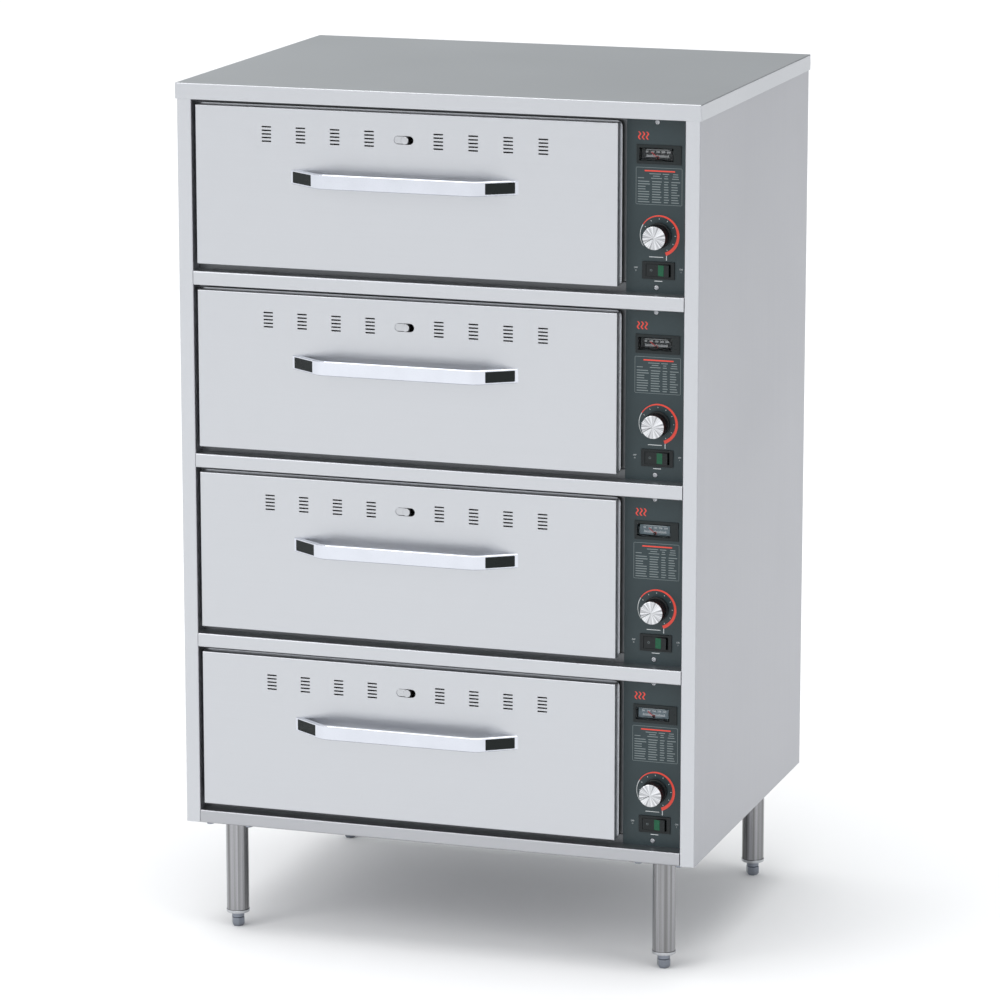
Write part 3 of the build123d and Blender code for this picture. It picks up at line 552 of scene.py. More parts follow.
# The liners' near black colour is painted shade for the gaps round each drawer.
liner_steel = satin_steel("heated_steel", (0.13, 0.135, 0.14), along_x, 0.36)
slide_steel = satin_steel("slide_steel", (0.52, 0.53, 0.54), (900, 5, 900), 0.34)
element_sheath = grained("element_sheath", (0.17, 0.14, 0.12), 0.5, 160, 0.05, metallic=0.8)
thermostat_metal = grained("cast_aluminium", (0.55, 0.55, 0.56), 0.45, 320, 0.05, metallic=1.0)

for node, material, slot, edge in (
    ("cavity_liners", liner_steel, "stainless_inner", 0.2),
    ("cabinet_slides", slide_steel, "zinc_screw", 0.3),
    ("heating_elements", element_sheath, "element", 0.8),
    ("thermostat_bodies", thermostat_metal, "thermostat", 0.8),
):
    from_cad(node + "_made", node, edge, material, "cabinet", slot)

# ------------------------------------------------------------ drawer fronts and vents
# Folded pans of satin stainless with five punched slots in each vent group and an obround hole.
# A damper slides behind them, moved by a turned button on a bright carrier strip. The damper is
# coloured black as painted shade behind the slots.


def middle_of(node):
    """Middle of a CAD piece's box."""
    low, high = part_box(node)
    return (low + high) / 2


unit_low = [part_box(f"drawer_front_{unit}")[0].z for unit in units]
face_x = middle_of("drawer_front_1").x
front_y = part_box("drawer_front_1")[0].y


def down_to(mesh, unit):
    """Copy of a mesh made for the top unit, moved down to another unit."""
    moved = mesh.copy()
    moved.transform(Matrix.Translation((0, 0, unit_low[unit - 1] - unit_low[0])))
    return moved


def in_every_unit(name, mesh):
    """A mesh made for the top unit, set down in all of them as one mesh."""
    return joined(name, [down_to(mesh, unit) for unit in units])


def slab(name, low, high, edge, segments=2):
    """Block with rounded edges between two corners, in metres; the edge is in millimetres."""
    low = Vector(low)
    high = Vector(high)
    shape = bmesh.new()
    bmesh.ops.create_cube(shape, size=1.0)
    bmesh.ops.scale(shape, vec=high - low, verts=shape.verts)
    bmesh.ops.translate(shape, vec=(low + high) / 2, verts=shape.verts)
    bmesh.ops.bevel(shape, geom=shape.edges, offset=edge * MM, segments=segments, affect="EDGES")
    return mesh_of(shape, name, 40)


# The damper plate's black is painted shade, so that the slots read dark.
black_oxide = grained("black_oxide", (0.012, 0.012, 0.013), 0.7, 240, 0.03, metallic=0.3)
button_steel = satin_steel("button_steel", (0.50, 0.51, 0.53), (900, 900, 900), 0.3)
vent_rise = 184.2
button_x = face_x + 2.0 * MM
button_profile = [(0, 0), (0, 4.6), (2.6, 4.6), (2.6, 5.1), (3.0, 5.2), (3.3, 4.9), (3.4, 4.3)]
button_profile.append((3.4, 0))
button_root = front_y + 1.3 * MM
carrier_reach = 22.0
carrier_front = front_y + 1.22 * MM
carrier_half = 5.0 * MM
carrier_sheet = 0.2 * MM
vent_z = unit_low[0] + vent_rise * MM
button = turned("button", button_profile, 40, (button_x, button_root, vent_z), (0, -1, 0))
carrier = slab(
    "carrier",
    (button_x - carrier_reach * MM, carrier_front, vent_z - carrier_half),
    (button_x + 3.0 * MM, carrier_front + carrier_sheet, vent_z + carrier_half),
    0.05,
    1,
)
vent_button = joined("vent_button", [button, carrier])
for unit in units:
    front = f"drawer_front_{unit}"
    from_cad(f"drawer_face_{unit}", front, 0.25, front_steel, f"drawer_{unit}", "stainless")
    damper = f"vent_damper_{unit}"
    from_cad(f"damper_plate_{unit}", damper, 0.1, black_oxide, damper, "stainless_inner")
    finished(f"vent_button_{unit}", down_to(vent_button, unit), button_steel, damper, "chrome")

# ------------------------------------------------------------ handles
# Flat bar bent at both ends and chrome plated. Each slanted end holds a plain black enamel inset in
# a milled recess.

chrome = grained("bright_chrome", (0.63, 0.65, 0.705), 0.09, 30, 0.0, 0.03, metallic=1.0)
badge_enamel = grained("badge_enamel", (0.006, 0.009, 0.009), 0.3, 90, 0.01, 0.05, gloss=0.18)
handle_half = 163.0
handle_grip = 112.7
handle_reach = 34.0
handle_rise = 127.1
inset_along = 25.5
inset_size = (41.4, 14.8)
inset_depth = 0.75
inset_border = 0.5
slant = Vector((handle_half - handle_grip, -handle_reach)).normalized()
handle_z = unit_low[0] + handle_rise * MM
insets = []
for side in (-1, 1):
    along = Vector((-side * slant.x, slant.y, 0))
    outward = Vector((side * -slant.y, -slant.x, 0))
    root = Vector((face_x + side * handle_half * MM, front_y, handle_z))
    middle = root + inset_along * MM * along
    plate = slab(
        "inset",
        (-inset_size[0] / 2 * MM, -inset_size[1] / 2 * MM, -inset_depth * MM),
        (inset_size[0] / 2 * MM, inset_size[1] / 2 * MM, -0.1 * MM),
        inset_border,
        3,
    )
    axes = Matrix((along, outward.cross(along), outward)).transposed().to_4x4()
    plate.transform(Matrix.Translation(middle) @ axes)
    insets.append(plate)
inset_pair = joined("insets", insets)
for unit in units:
    drawer = f"drawer_{unit}"
    from_cad(f"handle_bar_{unit}", f"drawer_handle_{unit}", 0.5, chrome, drawer, "chrome", 40)
    finished(f"handle_insets_{unit}", down_to(inset_pair, unit), badge_enamel, drawer, "knob")

# ------------------------------------------------------------ drawer frames and rollers
# The frame that carries front and pan is folded stainless. The rollers are turned white nylon with
# a groove in the tread, and run on riveted axles.

frame_steel = satin_steel("frame_steel", (0.58, 0.59, 0.61), (5, 900, 900), 0.34)
nylon = grained("roller_nylon", (0.72, 0.72, 0.68), 0.42, 140, 0.05)
roller_width = 8
roller_half = [(0, 3.1), (0, 5.2), (0.6, 5.6), (0.6, 9.6), (0, 10.0), (0.5, 10.8), (3.2, 10.95)]
roller_half.append((3.7, 10.6))
roller_other = [(roller_width - x, radius) for x, radius in reversed(roller_half)]
roller_profile = [*roller_half, *roller_other, roller_half[0]]


def roller_mesh(node):
    """The left and right roller of a CAD pair, turned with an open bore."""
    low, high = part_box(node)
    centre = middle_of(node)
    pair = []
    for start, heading in ((low.x, 1), (high.x, -1)):
        place = (start, centre.y, centre.z)
        pair.append(turned("roller", roller_profile, 48, place, (heading, 0, 0)))
    return joined(node + "_turned", pair)


for unit in units:
    node = f"drawer_frame_{unit}"
    from_cad(node + "_folded", node, 0.25, frame_steel, f"drawer_{unit}", "stainless_inner")
    for end in ("front", "rear"):
        node = f"{end}_rollers_{unit}"
        finished(f"{end}_wheels_{unit}", roller_mesh(node), nylon, node, "roller", node)

# ------------------------------------------------------------ food pans
# Deep-drawn stainless pans with a flat rim, full round corners and sides that taper in. They hang
# by their rims on the drawer frames.

pan_steel = satin_steel("pan_steel", (0.60, 0.61, 0.62), (1400, 1400, 1400), 0.30, 0.001)
pan_corner_steps = 8


def pan_ring(shape, half, corner, height):
    """Closed ring of points: a rectangle with round corners, at one height, in metres."""
    ring = []
    for quarter, (x_side, y_side) in enumerate(((1, 1), (-1, 1), (-1, -1), (1, -1))):
        for step in range(pan_corner_steps + 1):
            angle = math.pi / 2 * (quarter + step / pan_corner_steps)
            x = x_side * (half[0] - corner) + corner * math.cos(angle)
            y = y_side * (half[1] - corner) + corner * math.sin(angle)
            ring.append(shape.verts.new((x, y, height)))
    return ring


def pan_mesh(node):
    """Pan pressed from one sheet: rim edge, rim, bowl with its bottom bend, and the inside again."""
    low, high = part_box(node)
    rim = ((high.x - low.x) / 2, (high.y - low.y) / 2)
    rim_width = 11.2
    taper = 13.7
    wall = 1.0
    levels = [  # inset from the rim's edge, height below the rim's top, corner radius
        (0.0, 1.0, 42.0),
        (0.0, 0.2, 42.0),
        (0.4, 0.0, 41.6),
        (rim_width + 0.2, 0.0, 31.0),
        (rim_width + 1.6, 0.6, 30.0),
        (rim_width + 2.2, 2.2, 29.5),
        (rim_width + taper - 1.0, 137.0, 22.0),
        (rim_width + taper + 2.6, 144.5, 20.0),
        (rim_width + taper + 9.0, 148.6, 16.0),
        (rim_width + taper + 16.0, 149.0, 12.0),
    ]
    under = [(inset - wall, drop + wall, corner + wall) for inset, drop, corner in levels[-1:3:-1]]
    under.append((rim_width - 0.6, 1.0, 31.6))
    shape = bmesh.new()
    rings = []
    for inset, drop, corner in levels + under:
        half = (rim[0] - inset * MM, rim[1] - inset * MM)
        rings.append(pan_ring(shape, half, corner * MM, high.z - drop * MM))
    inner_floor = rings[len(levels) - 1]
    outer_floor = rings[len(levels)]
    for lower, upper in zip(rings, rings[1:] + rings[:1]):
        if lower is inner_floor:
            continue
        for i in range(len(lower)):
            j = (i + 1) % len(lower)
            shape.faces.new((lower[i], lower[j], upper[j], upper[i]))
    shape.faces.new(inner_floor)
    shape.faces.new(outer_floor)
    centre = middle_of(node)
    bmesh.ops.translate(shape, vec=(centre.x, centre.y, 0), verts=shape.verts)
    bmesh.ops.recalc_face_normals(shape, faces=shape.faces)
    return mesh_of(shape, node + "_pressed", 50)


for unit in units:
    node = f"food_pan_{unit}"
    finished(f"pan_{unit}", pan_mesh(node), pan_steel, f"drawer_{unit}", "stainless_inner", node)

# ------------------------------------------------------------ control panels
# Sheet steel in dark enamel with screen-printed marks: a red sector round the knob, fine ticks, a
# chart of plain bars under the gauge, a plain sign for heat above it, and the switch's ON and OFF.

panel_enamel = grained("panel_enamel", (0.022, 0.038, 0.043), 0.38, 900, 0.015, gloss=0.4)
print_white = grained("print_white", (0.60, 0.63, 0.64), 0.5, 700, 0.005)
print_grey = grained("print_grey", (0.17, 0.205, 0.21), 0.5, 700, 0.005)
print_red = grained("print_red", (0.78, 0.055, 0.030), 0.42, 700, 0.005)
panel_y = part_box("control_panels")[0].y
print_depth = 0.06 * MM
knob_x, _, knob_z = middle_of("thermostat_knob_1")
rocker_x, _, rocker_z = middle_of("power_rocker_1")
upright = Matrix.Rotation(math.radians(90), 4, "X")


def ribbon(name, outer, inner, closed, face_y=panel_y):
    """Flat print between two lines of (x, z) points, standing a hair proud of a front face."""
    shape = bmesh.new()
    layers = []
    for y in (face_y - print_depth, face_y):
        layers.append([[shape.verts.new((x, y, z)) for x, z in line] for line in (outer, inner)])
    (front_out, front_in), (rear_out, rear_in) = layers
    count = len(outer)
    for i in range(count if closed else count - 1):
        j = (i + 1) % count
        shape.faces.new((front_out[i], front_out[j], front_in[j], front_in[i]))
        shape.faces.new((rear_out[i], rear_out[j], rear_in[j], rear_in[i]))
        shape.faces.new((front_out[i], front_out[j], rear_out[j], rear_out[i]))
        shape.faces.new((front_in[i], front_in[j], rear_in[j], rear_in[i]))
    if not closed:
        for end in (0, -1):
            shape.faces.new((front_out[end], front_in[end], rear_in[end], rear_out[end]))
    bmesh.ops.recalc_face_normals(shape, faces=shape.faces)
    return mesh_of(shape, name)


def arc_print(name, start, stop, radius, start_width, stop_width, steps=40):
    """Sector round the knob, from one clock angle to another in degrees, widening as it goes."""
    lines = ([], [])
    for step in range(steps + 1):
        share = step / steps
        angle = math.radians(start + (stop - start) * share)
        half = (start_width + (stop_width - start_width) * share) / 2
        for line, reach in zip(lines, (radius + half, radius - half)):
            x = knob_x + reach * math.sin(angle) * MM
            line.append((x, knob_z + reach * math.cos(angle) * MM))
    return ribbon(name, *lines, closed=False)


def box_line(name, low, high, corner, width):
    """Rectangular outline with round corners, printed as a thin line."""
    lines = ([], [])
    corners = ((high[0], high[1]), (low[0], high[1]), (low[0], low[1]), (high[0], low[1]))
    for quarter, (x, z) in enumerate(corners):
        x_side = -1 if x == high[0] else 1
        z_side = -1 if z == high[1] else 1
        for step in range(5):
            angle = math.pi / 2 * (quarter + step / 4)
            for line, reach in zip(lines, (corner, corner - width)):
                across = x + x_side * corner + reach * math.cos(angle)
                upward = z + z_side * corner + reach * math.sin(angle)
                line.append((across * MM, upward * MM))
    return ribbon(name, *lines, closed=True)


def bar_print(name, low, high, face_y=panel_y):
    """Printed bar between two (x, z) corners, in millimetres."""
    top, foot = [[(x * MM, z * MM) for x in (low[0], high[0])] for z in (high[1], low[1])]
    return ribbon(name, top, foot, False, face_y)


font_size = 1.38  # for one unit of height of its capitals


def lettering(text, height, x, z, face_y=panel_y):
    """Printed characters centred on a place on a front face; the height is in millimetres."""
    curve = bpy.data.curves.new("lettering", "FONT")
    curve.body = text
    curve.size = height * MM * font_size
    curve.align_x = "CENTER"
    curve.align_y = "CENTER"
    curve.resolution_u = 2
    curve.extrude = print_depth / 2
    mesh = evaluated(bpy.data.objects.new("lettering", curve))
    mesh.materials.clear()
    mesh.transform(Matrix.Translation((x, face_y - print_depth / 2, z)) @ upright)
    return mesh


chart_tree, chart_in, chart_out = tree_with(
    "chart_bars",
    Rows="Int",
    Step="Float",
    Shortest="Float",
    Longest="Float",
    Height="Float",
    Depth="Float",
    Seed="Int",
    Finish="Material",
)
chart_points = chart_tree.nodes.new("GeometryNodePoints")
chart_index = chart_tree.nodes.new("GeometryNodeInputIndex")
chart_row = node_with(chart_tree, "ShaderNodeMath", operation="MULTIPLY")
chart_spot = chart_tree.nodes.new("ShaderNodeCombineXYZ")
chart_length = chart_tree.nodes.new("FunctionNodeRandomValue")
chart_size = chart_tree.nodes.new("ShaderNodeCombineXYZ")
chart_shift = node_with(chart_tree, "ShaderNodeMath", {1: 0.5}, operation="MULTIPLY")
chart_bar = chart_tree.nodes.new("GeometryNodeMeshCube")
chart_instances = chart_tree.nodes.new("GeometryNodeInstanceOnPoints")
wire(
    chart_tree,
    (chart_in, "Rows", chart_points, "Count"),
    (chart_index, "Index", chart_row, 0),
    (chart_in, "Step", chart_row, 1),
    (chart_in, "Shortest", chart_length, 2),
    (chart_in, "Longest", chart_length, 3),
    (chart_in, "Seed", chart_length, "Seed"),
    (chart_length, 1, chart_size, "X"),
    (chart_in, "Depth", chart_size, "Y"),
    (chart_in, "Height", chart_size, "Z"),
    (chart_length, 1, chart_shift, 0),
    (chart_shift, "Value", chart_spot, "X"),
    (chart_row, "Value", chart_spot, "Z"),
    (chart_spot, "Vector", chart_points, "Position"),
    (chart_points, "Points", chart_instances, "Points"),
    (chart_bar, "Mesh", chart_instances, "Instance"),
    (chart_size, "Vector", chart_instances, "Scale"),
)
close_tree(chart_tree, chart_in, chart_out, chart_instances)

chart_low = (276.8, 1072.0)
chart_high = (341.2, 1122.2)
column_starts = (279.6, 299.4, 316.0, 326.2)
column_lengths = ((8.5, 17.0), (11.0, 13.4), (4.5, 7.0), (7.0, 12.5))
chart_rows = 9
row_step = 3.45
row_height = 1.25
chart_foot = 1075.6
head_height = 1.1

grey_marks = [box_line("chart_line", chart_low, chart_high, 1.5, 0.5)]
for column, (start, (shortest, longest)) in enumerate(zip(column_starts, column_lengths)):
    bars = grown(
        "chart_column",
        bpy.data.meshes.new("chart_base"),
        chart_tree,
        Rows=chart_rows,
        Step=row_step * MM,
        Shortest=shortest * MM,
        Longest=longest * MM,
        Height=row_height * MM,
        Depth=print_depth,
        Seed=column + 3,
        Finish=print_grey,
    )
    bars.materials.clear()
    bars.transform(Matrix.Translation((start * MM, panel_y - print_depth / 2, chart_foot * MM)))
    grey_marks.append(bars)
chart_head = {  # height, and where each bar starts and how long it is
    1107.2: ((279.6, 8.5), (298.0, 15.0), (316.2, 5.5), (327.0, 9.5)),
    1110.2: ((300.5, 9.5), (316.8, 4.2), (328.0, 8.0)),
    1113.2: ((295.5, 16.0), (314.0, 9.0), (328.5, 7.0)),
}
for height, spans in chart_head.items():
    for start, length in spans:
        end = (start + length, height + head_height)
        grey_marks.append(bar_print("chart_head", (start, height), end))

dial_radius = 26.5
wave_places = (281.5, 287.0, 292.5)
wave_half = 5.2
wave_swing = 1.3
wave_width = 1.9
wave_z = 1164.6
wave_steps = 24
wave_turns = 1.25
waves = []
for place in wave_places:
    lines = ([], [])
    for step in range(wave_steps + 1):
        share = step / wave_steps * 2 - 1
        swing = place + wave_swing * math.sin(share * math.pi * wave_turns)
        for line, side in zip(lines, (-0.5, 0.5)):
            line.append(((swing + side * wave_width) * MM, (wave_z + share * wave_half) * MM))
    waves.append(ribbon("heat_wave", *lines, closed=False))
red_marks = [
    *waves,
    arc_print("heat_sector", 302, 520, dial_radius, 1.0, 4.6),
    bar_print("chart_title", (289.0, 1116.8), (331.0, 1118.5)),
]
tick = bar_print("tick", (-0.35, -0.8), (0.35, 0.8), 0.0)
tick.transform(Matrix.Rotation(math.radians(-90), 4, "X"))
tick.transform(Matrix.Rotation(math.radians(-90), 4, "Z"))
ticks = ring_of("ticks", tick, print_white, 9, 22.4, -60, 30)
ticks.materials.clear()
ticks.transform(Matrix.Translation((knob_x, panel_y, knob_z)) @ upright)
underline_z = knob_z / MM - 31.5
off_x = 277.5 * MM
on_x = 340.5 * MM
word_z = rocker_z + 2.4 * MM
sign_z = rocker_z - 1.4 * MM
white_marks = [
    arc_print("start_sector", 236, 302, dial_radius, 0.5, 1.0, 16),
    ticks,
    bar_print("knob_line", (296.0, underline_z + 1.6), (315.5, underline_z + 2.5)),
    bar_print("switch_line", (303.5, rocker_z / MM - 15.2), (314.5, rocker_z / MM - 14.2)),
    bar_print("knob_stop", (319.6, underline_z - 2.0), (320.6, underline_z + 4.5)),
    lettering("OFF", 2.1, off_x, word_z),
    lettering("O", 1.8, off_x, sign_z),
    lettering("ON", 2.1, on_x, word_z),
    lettering("I", 1.8, on_x, sign_z),
]
from_cad("panel_plates", "control_panels", 0.2, panel_enamel, "cabinet", "control_panel")
for name, marks, ink in (
    ("grey_print", grey_marks, print_grey),
    ("red_print", red_marks, print_red),
    ("white_print", white_marks, print_white),
):
    print_mesh = in_every_unit(name, joined(name, marks))
    finished(name, print_mesh, ink, "cabinet", "control_panel")

# ------------------------------------------------------------ gauges
# Thermometer in a black moulded case. A printed card shows through the lens, and a red needle on a
# pin reads it. The cards of the two upper units are black, those of the lower ones blue-grey.

case_black = grained("case_black", (0.008, 0.013, 0.014), 0.32, 420, 0.02, gloss=0.3)
lens_glass = grained("lens_glass", (0.95, 0.97, 0.98), 0.04, 40, 0.0, 0.02)
lens_shader = lens_glass.node_tree.nodes["Principled BSDF"]
lens_shader.inputs["Transmission Weight"].default_value = 1.0
lens_shader.inputs["IOR"].default_value = 1.1
needle_red = grained("needle_red", (0.62, 0.03, 0.025), 0.4, 200, 0.01)
figure_white = grained("figure_white", (0.92, 0.94, 0.95), 0.5, 700, 0.005)
card_black = grained("card_black", (0.020, 0.024, 0.026), 0.55, 500, 0.01)
card_blue = grained("card_blue", (0.16, 0.21, 0.24), 0.55, 500, 0.01)
needle_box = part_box("gauge_pointer_1")
window_x = middle_of("gauge_lenses").x
window_rise = 187.5 - 10.2
window_z = unit_low[0] + window_rise * MM
card_half = (22.2 * MM, 7.5 * MM)
card_y = needle_box[1].y + 0.05 * MM
card_sheet = 0.04 * MM

from_cad("gauge_bodies", "gauge_cases", 0.6, case_black, "cabinet", "gauge_case")
from_cad("gauge_windows", "gauge_lenses", 0.15, lens_glass, "cabinet", "gauge_window")
card = slab(
    "card",
    (window_x - card_half[0], card_y, window_z - card_half[1]),
    (window_x + card_half[0], card_y + card_sheet, window_z + card_half[1]),
    0.01,
    1,
)
figures = []
scale_x = window_x / MM
scale_z = window_z / MM
scale_half = 15.0
scale_steps = 24
scale_end = 16.0
mark_half = 0.22
scale_figures = ("50", "100", "150", "200", "250")
marks_each = scale_steps // (len(scale_figures) - 1)
for step in range(scale_steps + 1):
    x = scale_x - scale_half + 2 * scale_half * step / scale_steps
    tall = 2.6 if step % marks_each == 0 else 1.7
    z = scale_z - 3.6
    figures.append(bar_print("scale", (x - mark_half, z), (x + mark_half, z + tall), card_y))
for number, figure in enumerate(scale_figures):
    x = window_x + (-scale_half + 2 * scale_half * number * marks_each / scale_steps) * MM
    figures.append(lettering(figure, 2.5, x, window_z + 2.4 * MM, card_y))
for low, high in ((5.2, 5.5), (-4.2, -3.9)):
    left = (scale_x - scale_end, scale_z + low)
    right = (scale_x + scale_end, scale_z + high)
    figures.append(bar_print("scale_line", left, right, card_y))
figure_mesh = in_every_unit("gauge_figures", joined("figures", figures))
finished("gauge_figures", figure_mesh, figure_white, "cabinet", "gauge_window")
hub_profile = [(0, 0), (0, 1.9), (0.35, 1.9), (0.5, 1.6), (0.5, 0)]
hub_drop = 4.8
hub_place = (window_x, needle_box[0].y - 0.1 * MM, window_z - hub_drop * MM)
hub = turned("hub", hub_profile, 28, hub_place, (0, -1, 0))
finished("gauge_hubs", in_every_unit("gauge_hubs", hub), case_black, "cabinet", "gauge_case")
for unit in units:
    pointer = f"gauge_pointer_{unit}"
    from_cad(f"needle_{unit}", pointer, 0.06, needle_red, pointer, "gauge_pointer")
    card_finish = card_black if unit < 3 else card_blue
    finished(f"gauge_card_{unit}", down_to(card, unit), card_finish, "cabinet", "gauge_window")

# ------------------------------------------------------------ thermostat knobs
# Black moulded skirt and ribbed grip with a spun aluminium cap let into the face. Light and dark
# wedges round the cap are painted reflection in its colour. A filled line in the cap shows the
# setting.

knob_black = grained("knob_black", (0.006, 0.008, 0.009), 0.36, 380, 0.02, gloss=0.25)
spun_metal = grained("spun_aluminium", (0.62, 0.63, 0.65), 0.24, 60, 0.0, 0.05, metallic=1.0)
spun_tree = spun_metal.node_tree
spun_shader = spun_tree.nodes["Principled BSDF"]
# Light and dark wedges round the cap, set by the angle about its middle, are painted reflection in
# its colour.
reflection_wedge_angles = node_with(spun_tree, "ShaderNodeUVMap", uv_map="turns")
reflection_wedge_noise = node_with(spun_tree, "ShaderNodeTexNoise", {"Scale": 4.6, "Detail": 2.0})
painted_reflection_wedges = spun_tree.nodes.new("ShaderNodeValToRGB")
painted_reflection_wedges.color_ramp.elements[0].position = 0.40
painted_reflection_wedges.color_ramp.elements[0].color = (0.33, 0.335, 0.35, 1)
painted_reflection_wedges.color_ramp.elements[1].position = 0.60
painted_reflection_wedges.color_ramp.elements[1].color = (0.74, 0.75, 0.77, 1)
spun_shader.inputs["Anisotropic"].default_value = 0.85
spun_turn = node_with(spun_tree, "ShaderNodeTangent", direction_type="RADIAL", axis="Y")
wire(
    spun_tree,
    (reflection_wedge_angles, "UV", reflection_wedge_noise, "Vector"),
    (reflection_wedge_noise, "Fac", painted_reflection_wedges, "Fac"),
    (painted_reflection_wedges, "Color", spun_shader, "Base Color"),
    (spun_turn, "Tangent", spun_shader, "Tangent"),
)
knob_back = panel_y - 1.0 * MM
knob_centre = (knob_x, knob_back, knob_z)
skirt_profile = [(0, 3.0), (0, 16.9), (0.5, 17.5), (2.8, 17.5), (3.5, 16.6), (4.2, 15.6)]
skirt_profile += [(23.4, 15.4), (24.3, 15.2), (24.3, 0)]
cap_profile = [(24.2, 0), (24.2, 15.7), (24.75, 15.7), (24.95, 15.3)]
groove_count = 15
for groove in range(groove_count):
    radius = 14.9 - groove
    cap_profile += [(24.95, radius), (24.90, radius - 0.25)]
    cap_profile += [(24.90, radius - 0.45), (24.95, radius - 0.7)]
cap_profile.append((24.97, 0))
shaft_profile = [(0.5, 0), (0.5, 2.7), (-14.0, 2.7), (-14.5, 2.2), (-14.5, 0)]
grip_rib = slab("rib", (-0.45 * MM, -0.62 * MM, 0), (0.45 * MM, 0.62 * MM, 18.8 * MM), 0.35, 2)
rib_count = 36
knob_ribs = ring_of("knob_ribs", grip_rib, knob_black, rib_count, 15.45)
knob_ribs.materials.clear()
rib_start = knob_back - 4.3 * MM
knob_ribs.transform(Matrix.Translation((knob_x, rib_start, knob_z)) @ upright)
knob_core = turned("skirt", skirt_profile, 72, knob_centre, (0, -1, 0))
knob_shaft = turned("shaft", shaft_profile, 24, knob_centre, (0, -1, 0))
knob_body = joined("knob_body", [knob_core, knob_ribs, knob_shaft])
knob_cap = turned("knob_cap", cap_profile, 96, knob_centre, (0, -1, 0), 20)
# Angle round the knob as a map, which places the painted reflection wedges.
turns = knob_cap.uv_layers.new(name="turns")
for loop in knob_cap.loops:
    spot = knob_cap.vertices[loop.vertex_index].co
    turn = 2 * math.atan2(spot.z - knob_z, spot.x - knob_x)
    turns.data[loop.index].uv = (0.5 + 0.5 * math.cos(turn), 0.5 + 0.5 * math.sin(turn))
line_turn = upright @ Matrix.Rotation(math.radians(210), 4, "Z")
line_box = (Vector((1.5, -0.8, 24.9)) * MM, Vector((15.2, 0.8, 25.0)) * MM)
fill_box = (Vector((2.0, -0.1, 24.9)) * MM, Vector((15.0, 0.65, 25.04)) * MM)
knob_line = slab("knob_line", *line_box, 0.04, 1)
line_fill = slab("line_fill", *fill_box, 0.04, 1)
for line in (knob_line, line_fill):
    line.transform(Matrix.Translation(knob_centre) @ line_turn)
for unit in units:
    knob = f"thermostat_knob_{unit}"
    finished(f"knob_grip_{unit}", down_to(knob_body, unit), knob_black, knob, "knob", knob)
    finished(f"knob_cap_{unit}", down_to(knob_cap, unit), spun_metal, knob, "chrome")
    finished(f"knob_line_{unit}", down_to(knob_line, unit), knob_black, knob, "knob")
    finished(f"knob_line_fill_{unit}", down_to(line_fill, unit), print_white, knob, "knob")

# ------------------------------------------------------------ switches
# Snap-in rocker switches. The housing and rocker are moulded in matt black, and a green lamp lens is
# let into the rocker right of its middle.

switch_black = grained("switch_black", (0.007, 0.010, 0.011), 0.34, 420, 0.02, gloss=0.3)
lamp_green = grained("lamp_green", (0.002, 0.085, 0.036), 0.22, 90, 0.02, gloss=0.3)
from_cad("switch_bodies", "switch_housings", 0.5, switch_black, "cabinet", "switch")
rocker_tilt = math.radians(-6.0)
rocker_face_slope = math.atan2(1.8, 16.2)
rocker_face = Matrix.Translation((0, -3.2 * MM, 0))
pivot_y = panel_y + 1.0 * MM
rocker_pivot = Matrix.Translation((rocker_x, pivot_y, rocker_z))
rocker_seat = rocker_pivot @ Matrix.Rotation(rocker_tilt, 4, "Z") @ rocker_face
lamp_size = (8.6, 14.6, 0.5)
lamp_start = 0.6
lamp_lens = slab(
    "lamp_lens",
    (lamp_start * MM, -0.12 * MM, -lamp_size[1] / 2 * MM),
    ((lamp_start + lamp_size[0]) * MM, lamp_size[2] * MM, lamp_size[1] / 2 * MM),
    0.1,
)
lamp_lens.transform(rocker_seat @ Matrix.Rotation(-rocker_face_slope, 4, "Z"))
mark_x = -9.0 * MM
off_mark = lettering("O", 3.2, mark_x, 0, 0)
off_mark.transform(rocker_seat @ Matrix.Rotation(rocker_face_slope, 4, "Z"))
for unit in units:
    rocker = f"power_rocker_{unit}"
    from_cad(f"rocker_{unit}", rocker, 0.4, switch_black, rocker, "rocker")
    finished(f"rocker_lens_{unit}", down_to(lamp_lens, unit), lamp_green, rocker, "rocker")
    finished(f"rocker_mark_{unit}", down_to(off_mark, unit), print_grey, rocker, "rocker")

# ------------------------------------------------------------ cord gland
# Black nylon gland low on the back: a hexagon flange, a round clamping sleeve and an open bore.

gland_nylon = grained("gland_nylon", (0.018, 0.018, 0.019), 0.45, 300, 0.03)
gland_middle = middle_of("cord_bushing")
gland_end = (gland_middle.x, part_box("cord_bushing")[1].y, gland_middle.z)
gland_bore = 6.0
flange_profile = [(0, 12.9), (0.4, 13.6), (2.0, 13.6), (2.4, 12.9)]
sleeve_profile = [(2.4, 10.4), (13.8, 10.2), (14.4, 9.6)]
rings = []
for outline, sides, crease in ((flange_profile, 6, 20), (sleeve_profile, 48, 35)):
    first = (outline[0][0], gland_bore)
    last = (outline[-1][0], gland_bore)
    profile = [first, *outline, last, first]
    rings.append(turned("gland_ring", profile, sides, gland_end, (0, -1, 0), crease))
finished("gland", joined("gland", rings), gland_nylon, "cabinet", "cord_gland", "cord_bushing")

# ------------------------------------------------------------ screws
# Hexagon bolts hold the leg plates, washer-head screws the back sheet, and chrome pan-head screws
# with a cross slot the control panels.

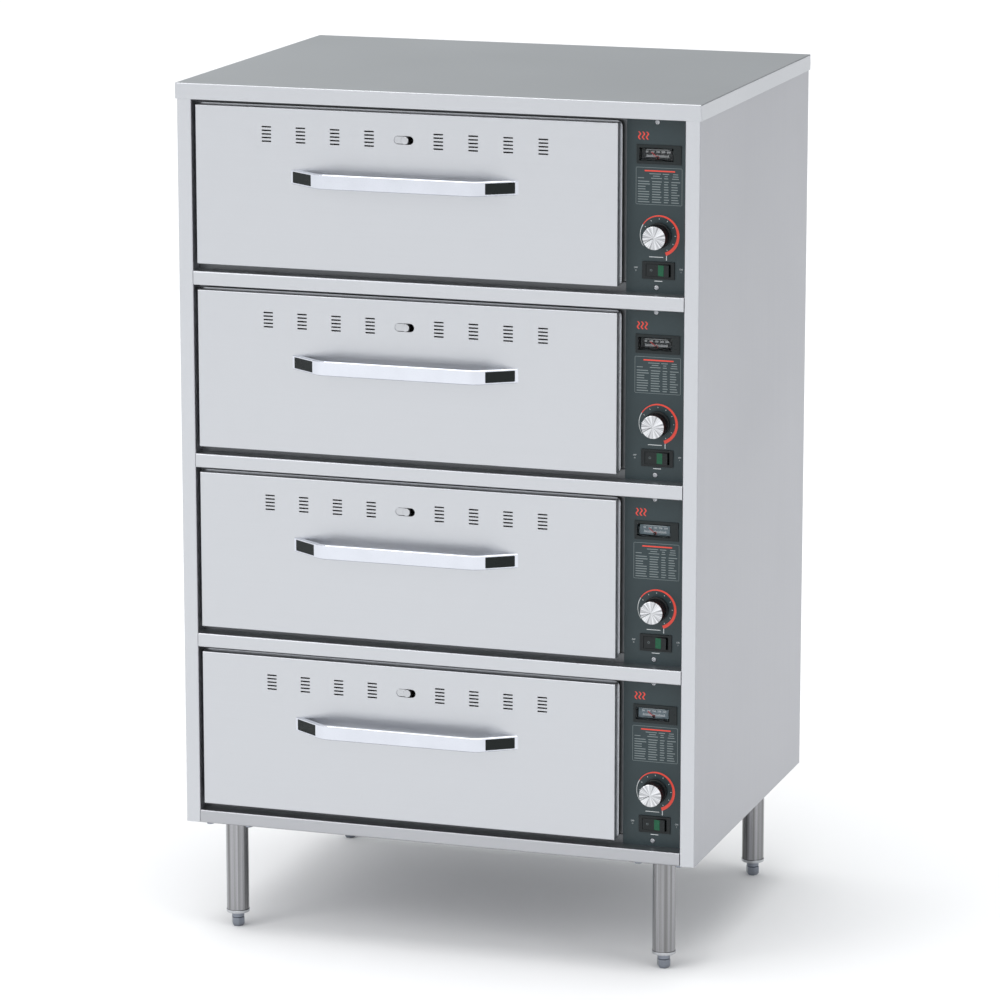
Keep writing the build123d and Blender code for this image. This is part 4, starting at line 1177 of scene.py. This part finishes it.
screw_chrome = grained("screw_chrome", (0.42, 0.43, 0.45), 0.22, 200, 0.01, 0.05, metallic=1.0)
repeat_tree, repeat_in, repeat_out = tree_with(
    "repeat_on_points", Piece="Object", Finish="Material"
)
repeat_piece = repeat_tree.nodes.new("GeometryNodeObjectInfo")
repeat_points = repeat_tree.nodes.new("GeometryNodeMeshToPoints")
repeat_instances = repeat_tree.nodes.new("GeometryNodeInstanceOnPoints")
wire(
    repeat_tree,
    (repeat_in, "Geometry", repeat_points, "Mesh"),
    (repeat_in, "Piece", repeat_piece, "Object"),
    (repeat_points, "Points", repeat_instances, "Points"),
    (repeat_piece, "Geometry", repeat_instances, "Instance"),
)
close_tree(repeat_tree, repeat_in, repeat_out, repeat_instances)


def repeated(name, mesh, material, places):
    """A mesh set down at each place, in metres."""
    piece = placed(name + "_one", mesh)
    points = bpy.data.meshes.new(name + "_places")
    points.from_pydata(places, [], [])
    made = grown(name, points, repeat_tree, Piece=piece, Finish=material)
    bpy.data.objects.remove(piece)
    return made


def cross_head(name, profile, facing):
    """Turned screw head with a cross slot cut into its crown."""
    head = bpy.data.objects.new(name, turned(name, profile, 32, along=facing))
    arms = [
        slab("arm", (-2.3 * MM, -0.5 * MM, 0.5 * MM), (2.3 * MM, 0.5 * MM, 3.0 * MM), 0.1, 1),
        slab("arm", (-0.5 * MM, -2.3 * MM, 0.5 * MM), (0.5 * MM, 2.3 * MM, 3.0 * MM), 0.1, 1),
    ]
    cutters = []
    for arm in arms:
        arm.transform(facing_along(facing))
        cutter = placed("arm", arm)
        cutters.append(cutter)
        cut = head.modifiers.new("slot", "BOOLEAN")
        cut.operation = "DIFFERENCE"
        cut.object = cutter
    mesh = evaluated(head)
    for cutter in cutters:
        bpy.data.objects.remove(cutter)
    return mesh


bolt_spread = 29.0
bolt_profile = [(0, 0), (0, 5.7), (3.3, 5.7), (3.9, 4.9), (3.9, 0)]
bolt_places = [
    (x + i * bolt_spread * MM, y + j * bolt_spread * MM, leg_top * MM)
    for x, y in leg_places
    for i in (-1, 1)
    for j in (-1, 1)
]
bolt = turned("bolt", bolt_profile, 6, along=(0, 0, -1), crease=20)
bolts = repeated("bolts", bolt, zinc, bolt_places)
rear_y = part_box("back_panel")[1].y
rear_x = 361.5
rear_first = 185.0
rear_last = 1167.2
rear_count = 4
rear_profile = [(0, 0), (0, 3.55), (0.5, 3.55), (0.55, 2.5), (1.7, 2.4), (1.8, 2.1), (1.8, 0)]
rear_step = (rear_last - rear_first) / (rear_count - 1)
rear_places = [
    (side * rear_x * MM, rear_y, (rear_first + i * rear_step) * MM)
    for side in (-1, 1)
    for i in range(rear_count)
]
rear_screw = turned("screw", rear_profile, 24, along=(0, 1, 0))
rear_screws = repeated("rear_screws", rear_screw, zinc, rear_places)
panel_screw_x = 306.5 * MM
panel_screw_rises = (-2.6, 221.0)
crown_profile = [(0, 0), (0, 3.55), (0.5, 3.5), (1.1, 3.0), (1.5, 2.2), (1.75, 1.0), (1.8, 0)]
panel_places = [
    (panel_screw_x, panel_y, low + rise * MM) for low in unit_low for rise in panel_screw_rises
]
cross = cross_head("cross_screw", crown_profile, (0, -1, 0))
panel_screws = repeated("panel_screws", cross, screw_chrome, panel_places)
screws = joined("zinc_screws", [bolts, rear_screws])
finished("zinc_screws", screws, None, "cabinet", "zinc_screw", "fasteners")
finished("panel_screws", panel_screws, None, "cabinet", "zinc_screw")
